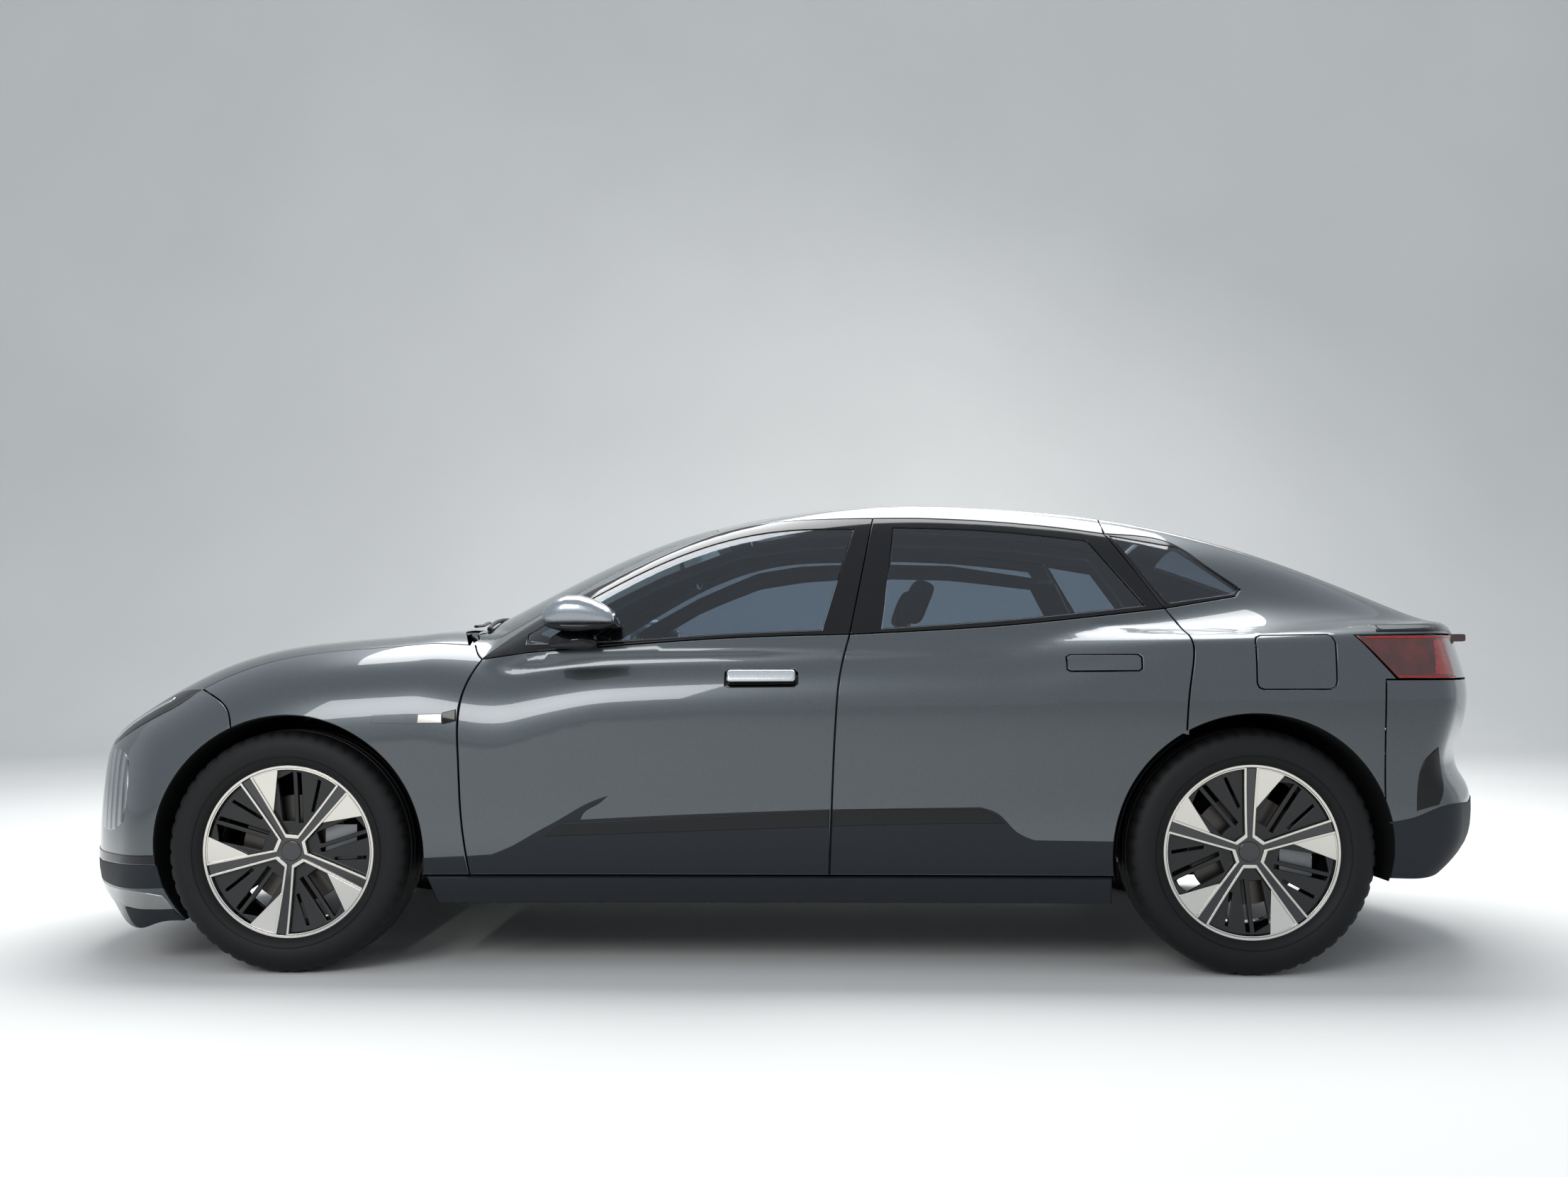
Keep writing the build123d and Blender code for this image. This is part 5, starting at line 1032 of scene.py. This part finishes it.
# ---------------------------------------------------------------- wheel liners
# Injection-moulded black liners line each wheel arch and close it off from the body inside, so only
# darkness shows between tyre and wing. They are clipped under the edge of the wheel opening.
liner_black = finish("matt_black_liner_felt", "08090a", "0d0e0f", 0.9, 3, 0.3, Specular_IOR_Level=0.2)
liner_radius = arch_radius - 0.5
liner_wall_y = -511
liner_sheet = 3
for end, centre, start, stop in (("front", front_axle, -12, 212), ("rear", rear_axle, -12, 192)):
    rings = []
    for a in np.radians(np.arange(start, stop + 1, 2.0)):
        x, z = centre + liner_radius * math.cos(a), wheel_height + liner_radius * math.sin(a)
        edge = strike(lower_body, np.array([[x, -1800.0, z]]), np.array([[0, 1.0, 0]]))[0, 1] + 7
        outer = liner_radius + liner_sheet
        profile = [(liner_radius, edge), (liner_radius, -700), (liner_radius, liner_wall_y + 30),
                   (liner_radius - 30, liner_wall_y), (130, liner_wall_y), (130, liner_wall_y + liner_sheet),
                   (liner_radius - 28, liner_wall_y + liner_sheet), (outer, liner_wall_y + 32), (outer, -700),
                   (outer, edge)]
        rings.append(np.array([(centre + r * math.cos(a), y, wheel_height + r * math.sin(a))
                               for r, y in profile]))
    crisp(pair("wheel_liner_" + end, loft(rings), liner_black, "root", ["wheel_liners"]), 35)

# ---------------------------------------------------------------- cowl and wipers
# A black moulded grille closes the gap between bonnet and windscreen. Two wiper arms lie on it,
# with rubber blades along the foot of the glass.
cowl_outline = whole(low_above([(-1100, 0), (-1086, -300), (-1030, -640), (-990, -730)]),
                     low_above([(-985, -730), (-1015, -620), (-1058, -300), (-1074, 0)]))
piece("cowl_grille", panel(cowl_outline, Flat(0.3, 0, -1), skin=lower_body, lift=-9, thick=8, gap=2),
      grained_black, "root", ["cowl"])


def tube(points, radius, lift=0.0, skin=None, flat=1.0):
    """Round rod through points, lifted off a skin."""
    points = np.array(points, float)
    if skin is not None:
        points = points + slope(skin, points) * lift
    rings = []
    for i, p in enumerate(points):
        along = points[min(i + 1, len(points) - 1)] - points[max(i - 1, 0)]
        along /= np.linalg.norm(along)
        side = np.cross(along, (0, 0, 1.0))
        side /= np.linalg.norm(side)
        up = np.cross(side, along)
        rings.append(np.array([p + radius * (side * math.cos(a) + up * flat * math.sin(a))
                               for a in np.radians(np.arange(0, 360, 30))]))
    return loft(rings)


wiper_black = finish("satin_black_painted_steel", "0b0c0d", "101113", 0.4, 3, 0.02)
blade_rubber = finish("wiper_rubber", "090909", "0d0d0d", 0.7, 2, 0.02)
for name, foot_y, tip_y in (("driver", -560, 60), ("passenger", 40, 640)):
    blade = [(-1034 + 62 * abs(y / 700) ** 2, y) for y in np.linspace(foot_y + 30, tip_y, 24)]
    piece("wiper_blade_" + name, tube(from_above(blade, smooth=False), 7, 11, body), blade_rubber)
    arm = [(-1066 + 50 * abs(y / 700) ** 2 + 10 * math.sin(3 * t), y)
           for t, y in zip(np.linspace(0, 1, 24), np.linspace(foot_y - 40, (tip_y + foot_y) / 2, 24))]
    piece("wiper_arm_" + name, tube(from_above(arm, smooth=False), 8, 21, body, 0.6), wiper_black)

# ---------------------------------------------------------------- number plate places
# Blank pale plates screwed to black plinths, one on the nose and one on the tailgate.
plate_white = finish("reflective_plate_sheet", "c9cacb", "d2d3d4", 0.35, 0.8, 0, "TexVoronoi")
plate_height = 112


def plate_loop(look, low):
    """Outline of a number plate with cut corners, from the height of its lower edge."""
    top = low + plate_height
    return closed(look([(-258, top - 2), (-256, top), (0, top), (256, top), (260, top - 4)], smooth=False),
                  look([(260, top - 4), (260, low + 4), (256, low)], smooth=False),
                  look([(256, low), (0, low), (-256, low), (-260, low + 4), (-260, top - 4)], smooth=False))


plate_front, plate_rear = plate_loop(from_front, 322), plate_loop(from_behind, 756)
piece("plate_plinth_front", on_nose(plate_front, lift=-1.5, gap=-8, thick=6), grained_black)
piece("plate_front", on_nose(plate_front, gap=0, thick=2, roll=1), plate_white)
piece("plate_plinth_rear", panel(plate_rear, tail_view, lift=1.5, gap=-14, thick=6), gloss_black, "tailgate")
piece("plate_rear", panel(plate_rear, tail_view, lift=3.5, gap=0, thick=2, roll=1), plate_white, "tailgate")

# ---------------------------------------------------------------- door inner sides
# Inside, each door has a painted steel edge and a grained trim card with a padded armrest.
card_grey = finish("grained_trim_card", "17181a", "1e1f21", 0.65, 1.5, 0.12, Specular_IOR_Level=0.3)
door_inner_y = -848


def door_shell(outline):
    """Door casing from just under the skin to its flat inner face."""
    loop = moved_in(body, outline, 9)[0]
    out = loop - slope(body, loop) * 3
    inner = np.array([(x, max(y + 6, door_inner_y), z) for x, y, z in out])
    middle = np.array([(x, max(y + 5, door_inner_y - 12), z) for x, y, z in out])
    uv, faces = filled([inner[:, [0, 2]]], 60)
    extra = np.array([(u, door_inner_y, v) for u, v in uv[len(inner):]]).reshape(-1, 3)
    count = len(out)
    start = count + len(extra)
    all_faces = [list(map(int, f)) for f in faces]
    for a, b in ((start, 0), (start + count, start)):
        for i in range(count):
            j = (i + 1) % count
            all_faces.append([a + i, a + j, b + j, b + i])
    return np.vstack([inner, extra, middle, out]), all_faces, None


front_card = side_loop(door_front_edge[:-1], [(-940, 940), (-880, 985)],
                       [(-880, 985), (-546, 1012), (-205, 1034), (205, 1046)],
                       [(205, 1040), (195, 948), (181, 828), (165, 500), (158, door_low)],
                       [(158, door_low), (-968, door_low)])
rear_card = closed(side_loop([(232, 1046), (737, 1076), (1086, 1110), (1215, 1128)],
                             [(1225, 1120), (1262, 1050), (1258, 902), (1250, 753)]),
                   arch(rear_axle, 119.6, 190), from_side([(1037, door_low), (166, door_low)]),
                   from_side([(166, door_low), (173, 500), (189, 828), (203, 948), (228, 1040)]))
for end, outline in (("front", front_card), ("rear", rear_card)):
    crisp(pair("door_shell_" + end, door_shell(outline), shade_darkened_body_steel, "door_%s_SIDE" % end), 30)
# A black rubber lip along the rear edge of each front door closes the gap to the rear door; it is partly a
# seal and partly painted shade that keeps the gap dark.
pair("door_edge_lip", tube(from_side(middle_edge), 2.2, -8, body), blade_rubber, "door_front_SIDE")


def padded_form(length, width, height, crown=0, bolster=0, channels=(), rows=48, columns=44, back_pinch=0.0):
    """Stuffed form along X: crowned top with raised sides and sewn channels across it."""
    rings = []
    ys = np.linspace(-1, 1, columns)
    edge = np.maximum(1 - np.abs(ys) ** 6, 0) ** 0.35
    panel_part = 1 - 1 / (1 + np.exp(-(np.abs(ys) - 0.66) * 26))
    seam = np.exp(-((np.abs(ys) - 0.64) * width / 2 / 6) ** 2)
    for t in np.linspace(0, 1, rows):
        end = max(1 - abs(2 * t - 1) ** 7, 0.0) ** 0.4
        narrowing = 1 - 0.05 * (2 * t - 1) ** 2 - back_pinch * t
        half = width / 2 * narrowing * (0.80 + 0.20 * end)
        groove = sum(math.exp(-((t - c) * length / 7) ** 2) for c in channels)
        thickness = height / 2 * edge * (0.25 + 0.75 * end)
        top = thickness + crown * (1 - ys ** 2) * (1 - (2 * t - 1) ** 2)
        top = top + bolster * (1 - panel_part) * edge * math.sin(math.pi * min(max(t, 0.02), 0.98)) ** 0.6
        top = top - 7 * seam * end - 7 * groove * panel_part * end
        rings.append(np.array([((t - 0.5) * length, y * half, z) for y, z in
                               [*zip(ys, top), *zip(ys[::-1], -thickness[::-1])]]))
    return loft(rings)


def leaned(shape, degrees, place):
    """A form turned about Y, nose up for positive degrees, and moved to a place."""
    points, faces, normals = shape
    a = math.radians(degrees)
    x, y, z = points.T
    turned = np.array([x * math.cos(a) + z * math.sin(a), y, -x * math.sin(a) + z * math.cos(a)]).T
    return turned + np.array(place), faces, normals


def shifted(shape, *offset):
    return shape[0] + np.array(offset), shape[1], shape[2]


armrest = padded_form(430, 62, 56, 4, rows=20, columns=16)
pull = padded_form(120, 14, 20, 1, rows=12, columns=10)
for end, armrest_place, pull_place in (("front", (-330, -818, 700), (-520, -838, 842)),
                                       ("rear", (640, -818, 712), (480, -838, 862))):
    pair("door_armrest_" + end, shifted(armrest, *armrest_place), card_grey, "door_%s_SIDE" % end)
    pair("door_inner_handle_" + end, shifted(pull, *pull_place), satin_silver, "door_%s_SIDE" % end)

# ---------------------------------------------------------------- seats
# Leather-covered foam seats: crowned cushions with raised bolsters and sewn cross channels, head
# restraints on two steel posts, and moulded side shields over the runners.
leather = finish("black_grained_leather", "131314", "1b1b1c", 0.5, 1.1, 0.18, "TexVoronoi",
                 slot="seat_leather", Coat_Weight=0.08, Specular_IOR_Level=0.35)
shield = finish("seat_side_shield", "101112", "141516", 0.6, 1.5, 0.1)
post_steel = finish("chromed_post_steel", "c2c4c6", "cfd1d3", 0.15, 3, slot="seat_leather", Metallic=1.0)
seat_lean = math.radians(22.0)
back_direction = np.array([math.sin(seat_lean), 0, math.cos(seat_lean)])
back_front = np.array([-math.cos(seat_lean), 0, math.sin(seat_lean)])
sideways = np.array([0, 1, 0])
back_foot = 478


def back_rest(foot, height, width, thick, bolster, channels):
    """Padded back that rises from its foot, leaning back, its padding to the front."""
    points, faces, normals = padded_form(height, width, thick, 6, bolster, channels, back_pinch=0.08)
    x, y, z = points.T
    upright = back_direction * (x[:, None] + height / 2)
    return np.array(foot) + upright + back_front * z[:, None] + sideways * -y[:, None], faces, normals


def seat_set(name, front_x, middle_y, width, cushion_z, back_height, node, bolster):
    """One seat's cushion and back."""
    cushion = leaned(padded_form(505, width - 8, 112, 10, bolster, (0.3, 0.48, 0.66)), 3,
                     (front_x + 255, middle_y, cushion_z))
    piece("seat_cushion_" + name, cushion, leather, "root", [node])
    back = back_rest((front_x + back_foot, middle_y, cushion_z), back_height - 4, width - 10, 88, bolster,
                     (0.3, 0.45, 0.6, 0.75))
    piece("seat_back_" + name, back, leather)


def head_rest(name, front_x, middle_y, cushion_z, back_height):
    """A head restraint above a seat back, on its two posts."""
    foot = np.array((front_x + back_foot, middle_y, cushion_z)) + back_direction * (back_height + 22)
    piece("head_restraint_" + name, back_rest(foot, 146, 250, 74, 0, ()), leather)
    posts = [tube([foot + back_direction * h + sideways * y for h in (-50, 10)], 6) for y in (-58, 58)]
    piece("head_posts_" + name, joined(posts), post_steel)


for name, middle_y in (("front_left", -372), ("front_right", 372)):
    seat_set(name, -270, middle_y, 500, 538, 600, "front_seats", 26)
    head_rest(name, -270, middle_y, 538, 600)
    form = padded_form(440, 26, 150, rows=16, columns=10)
    for k, aside in enumerate((-205, 205)):
        piece("seat_shield_%s_%d" % (name, k), shifted(form, -20, middle_y + aside, 430), shield)
seat_set("rear", 700, 0, 1010, 562, 500, "rear_seat", 10)
for name, middle_y in (("rear_left", -340), ("rear_middle", 0), ("rear_right", 340)):
    head_rest(name, 700, middle_y, 562, 500)
piece("rear_seat_base", shifted(padded_form(420, 930, 160, rows=12, columns=20), 930, 0, 428), shield)

# ---------------------------------------------------------------- steering wheel and dashboard
# A leather-covered steering wheel with three spokes and a padded hub. The dashboard is a grained
# moulding with a long flat display, a bright strip and slim air vents.
tilt = math.radians(24)
wheel_axis = np.array([math.cos(tilt), 0, math.sin(tilt)])
wheel_up = np.array([-math.sin(tilt), 0, math.cos(tilt)])
wheel_centre = np.array([-452.0, -372.0, 905.0])
rings = []
for a in np.radians(np.arange(0, 360, 5)):
    out = wheel_up * math.cos(a) + sideways * math.sin(a)
    rings.append(np.array([wheel_centre + out * (171 + 14 * math.cos(b)) + wheel_axis * 14.5 * math.sin(b)
                           for b in np.radians(np.arange(0, 360, 24))]))
piece("steering_wheel_rim", ring_loft(rings), leather, "steering_wheel", ["steering_wheel"])


def on_wheel(shape):
    """A form made lying flat, stood in the plane of the steering wheel."""
    x, y, z = shape[0].T
    stood = wheel_centre + wheel_up * x[:, None] + sideways * y[:, None] + wheel_axis * z[:, None]
    return stood, shape[1], None


piece("steering_wheel_hub", on_wheel(padded_form(118, 150, 40, 6, rows=20, columns=20)), shield,
      "steering_wheel")
spokes = [padded_form(34, 300, 14, 1, rows=10, columns=20),
          shifted(padded_form(130, 36, 14, 1, rows=14, columns=12), -98, 0, 0)]
piece("steering_wheel_spokes", joined([on_wheel(spoke) for spoke in spokes]), satin_silver, "steering_wheel")
screen_black = finish("display_cover_glass", "040507", "06080b", 0.06, 200, Coat_Weight=1.0, IOR=1.5)
for name, surface, size, rows, columns, lean, place in (
        ("dash_display", screen_black, (18, 900, 130), 10, 40, 12, (-716, -60, 1012)),
        ("dash_vent_strip", gloss_black, (16, 1300, 26), 8, 60, -25, (-636, 0, 852)),
        ("dash_bright_strip", satin_silver, (10, 1380, 9), 8, 60, -25, (-636, 0, 828)),
        ("console_armrest", leather, (560, 214, 26, 4), 24, 20, 0, (-60, 0, 652)),
        ("cabin_mirror", shield, (52, 236, 66, 3), 14, 20, 10, (-352, 0, 1284)),
        ("cabin_mirror_glass", silvered, (4, 220, 54), 8, 20, 10, (-325, 0, 1279))):
    piece(name, leaned(padded_form(*size, rows=rows, columns=columns), lean, place), surface)
stem_top = from_above([(-404, 0), (-400, 0)], smooth=False)[0]
piece("cabin_mirror_stem", tube([stem_top - [0, 0, 8], (-392, 0, 1330), (-366, 0, 1296)], 9), shield)

# ---------------------------------------------------------------- cabin lining
# A dark knitted headlining follows the roof round its glass, and lines the windscreen pillars.
lining = finish("dark_knitted_headlining", "1a1b1d", "242527", 0.95, 2.2, 0.25, "TexVoronoi",
                Specular_IOR_Level=0.1)
piece("headlining", panel(roof_loop(1318), top_view, [roof_glass_outline], lift=-22, thick=5, gap=14,
                          spacing=40), lining)
pair("pillar_lining", panel(rail_outline, rail_view, lift=-24, thick=5, gap=16), lining)

# ---------------------------------------------------------------- lids from inside
# The bonnet and the tailgate have pressed inner frames, and a moulded cover closes the bay under
# the bonnet. The boot has a ribbed trim on each side.
piece("bonnet_inner_frame", panel(bonnet_outline, bonnet_view, skin=lower_body, lift=-9, thick=9, gap=30,
                                  spacing=50), shade_darkened_body_steel, "bonnet")
piece("under_bonnet_cover", panel(bonnet_outline, bonnet_view, skin=lower_body, lift=-74, thick=5, gap=90,
                                  spacing=50), grained_black)
piece("tailgate_inner_trim", panel(gate_outline, gate_view, [back_pane], lift=-18, thick=6, gap=30,
                                   spacing=40), card_grey, "tailgate")
boot_side = [(1180.0, 484), (2040, 484), (2040, 900), (1900, 1010), (1300, 1040), (1180, 1000), (1180.0, 484)]
boot_edge = drawn(boot_side, smooth=False, spacing=60)[:-1]
uv, faces = filled([boot_edge], 80)
count = len(uv)
boot_points = np.vstack([[(u, -436.0 - 10 * math.sin(u / 60), v) for u, v in uv],
                         [(u, -446.0, v) for u, v in uv]])
boot_faces = [list(map(int, f)) for f in faces] + [[int(i) + count for i in f[::-1]] for f in faces]
for i in range(len(boot_edge)):
    j = (i + 1) % len(boot_edge)
    boot_faces.append([j, i, i + count, j + count])
pair("boot_side_trim", (boot_points, boot_faces, None), card_grey)

# ---------------------------------------------------------------- structure and running gear
# The pieces underneath keep their shapes. Pressed steel is dipped in black primer, castings stay
# bare and slightly grainy, and the floor is covered with carpet.
recoat(finish("needled_floor_carpet", "0f1011", "1b1c1d", 0.95, 3, 0.6, Specular_IOR_Level=0.1), "floor_pan")
recoat(finish("black_dip_primed_steel", "0d0e0f", "151617", 0.55, 4, 0.04), "front_structure",
       "rear_structure", "battery_pack")
recoat(finish("sand_cast_aluminium", "6f7173", "8a8c8e", 0.5, 1.6, 0.15, Metallic=1.0), "drive_units",
       "rear_hub_carriers", "suspension_arms", "front_knuckle_left", "front_knuckle_right")
recoat(finish("grained_dashboard_moulding", "131416", "1b1c1e", 0.65, 1.4, 0.12, Specular_IOR_Level=0.3),
       "dashboard", "centre_console", "steering_column")

# ---------------------------------------------------------------- studio
# A plain pale floor that curves up behind, with large soft lamps above and beside it, and the
# camera level with the door mirrors.
for left_over in [o for o in bpy.data.objects if o.name in ("Cube", "Light", "Camera")]:
    bpy.data.objects.remove(left_over)
floor_finish = finish("pale_studio_floor", "d6d6d4", "dbdbd9", 0.8, 2500)
curve = [(-30, 0.0)] + [(11 + 4 * math.sin(math.radians(a)), 4 - 4 * math.cos(math.radians(a)))
                        for a in range(0, 91, 6)] + [(15.0, 14.0)]
floor_mesh = bpy.data.meshes.new("studio_floor")
floor_mesh.from_pydata([(x, y, z) for y, z in curve for x in (-40, 40)], [],
                       [(2 * i, 2 * i + 1, 2 * i + 3, 2 * i + 2) for i in range(len(curve) - 1)])
floor_mesh.materials.append(floor_finish)
floor_mesh.polygons.foreach_set("use_smooth", [True] * len(floor_mesh.polygons))
floor = bpy.data.objects.new("studio_floor", floor_mesh)
bpy.context.scene.collection.objects.link(floor)

world = bpy.data.worlds.new("studio_light")
bpy.context.scene.world = world
world.use_nodes = True
sky = world.node_tree.nodes["Background"]
sky.inputs["Color"].default_value = linear("dfe6ee")
sky.inputs["Strength"].default_value = 0.8


def soft_lamp(name, place, target, width, height, power):
    """Rectangular lamp aimed at a point."""
    lamp = bpy.data.lights.new(name, "AREA")
    lamp.shape = "RECTANGLE"
    lamp.size, lamp.size_y, lamp.energy = width, height, power
    made = bpy.data.objects.new(name, lamp)
    made.location = place
    made.rotation_euler = (Vector(target) - Vector(place)).to_track_quat("-Z", "Y").to_euler()
    bpy.context.scene.collection.objects.link(made)


soft_lamp("overhead", (0, 2.0, 6.0), (0, 1.2, 0), 7.0, 4.0, 580)
soft_lamp("camera_side", (-3.0, -8.0, 4.5), (0, 0, 0.8), 4.0, 3.0, 260)
soft_lamp("behind", (2.0, 6.5, 5.5), (0, 8.0, 0.5), 8.0, 3.0, 380)

view = bpy.data.cameras.new("camera")
view.lens = 33.44
view.sensor_width = 36.0
view.shift_y = 0.0511
view.clip_end = 200
camera = bpy.data.objects.new("camera", view)
camera.location = (0.150, -5.475, 0.952)
camera.rotation_euler = (math.pi / 2, 0.0028, 0.029)
bpy.context.scene.collection.objects.link(camera)
bpy.context.scene.camera = camera
bpy.context.scene.view_settings.view_transform = "Standard"

bpy.context.view_layer.update()
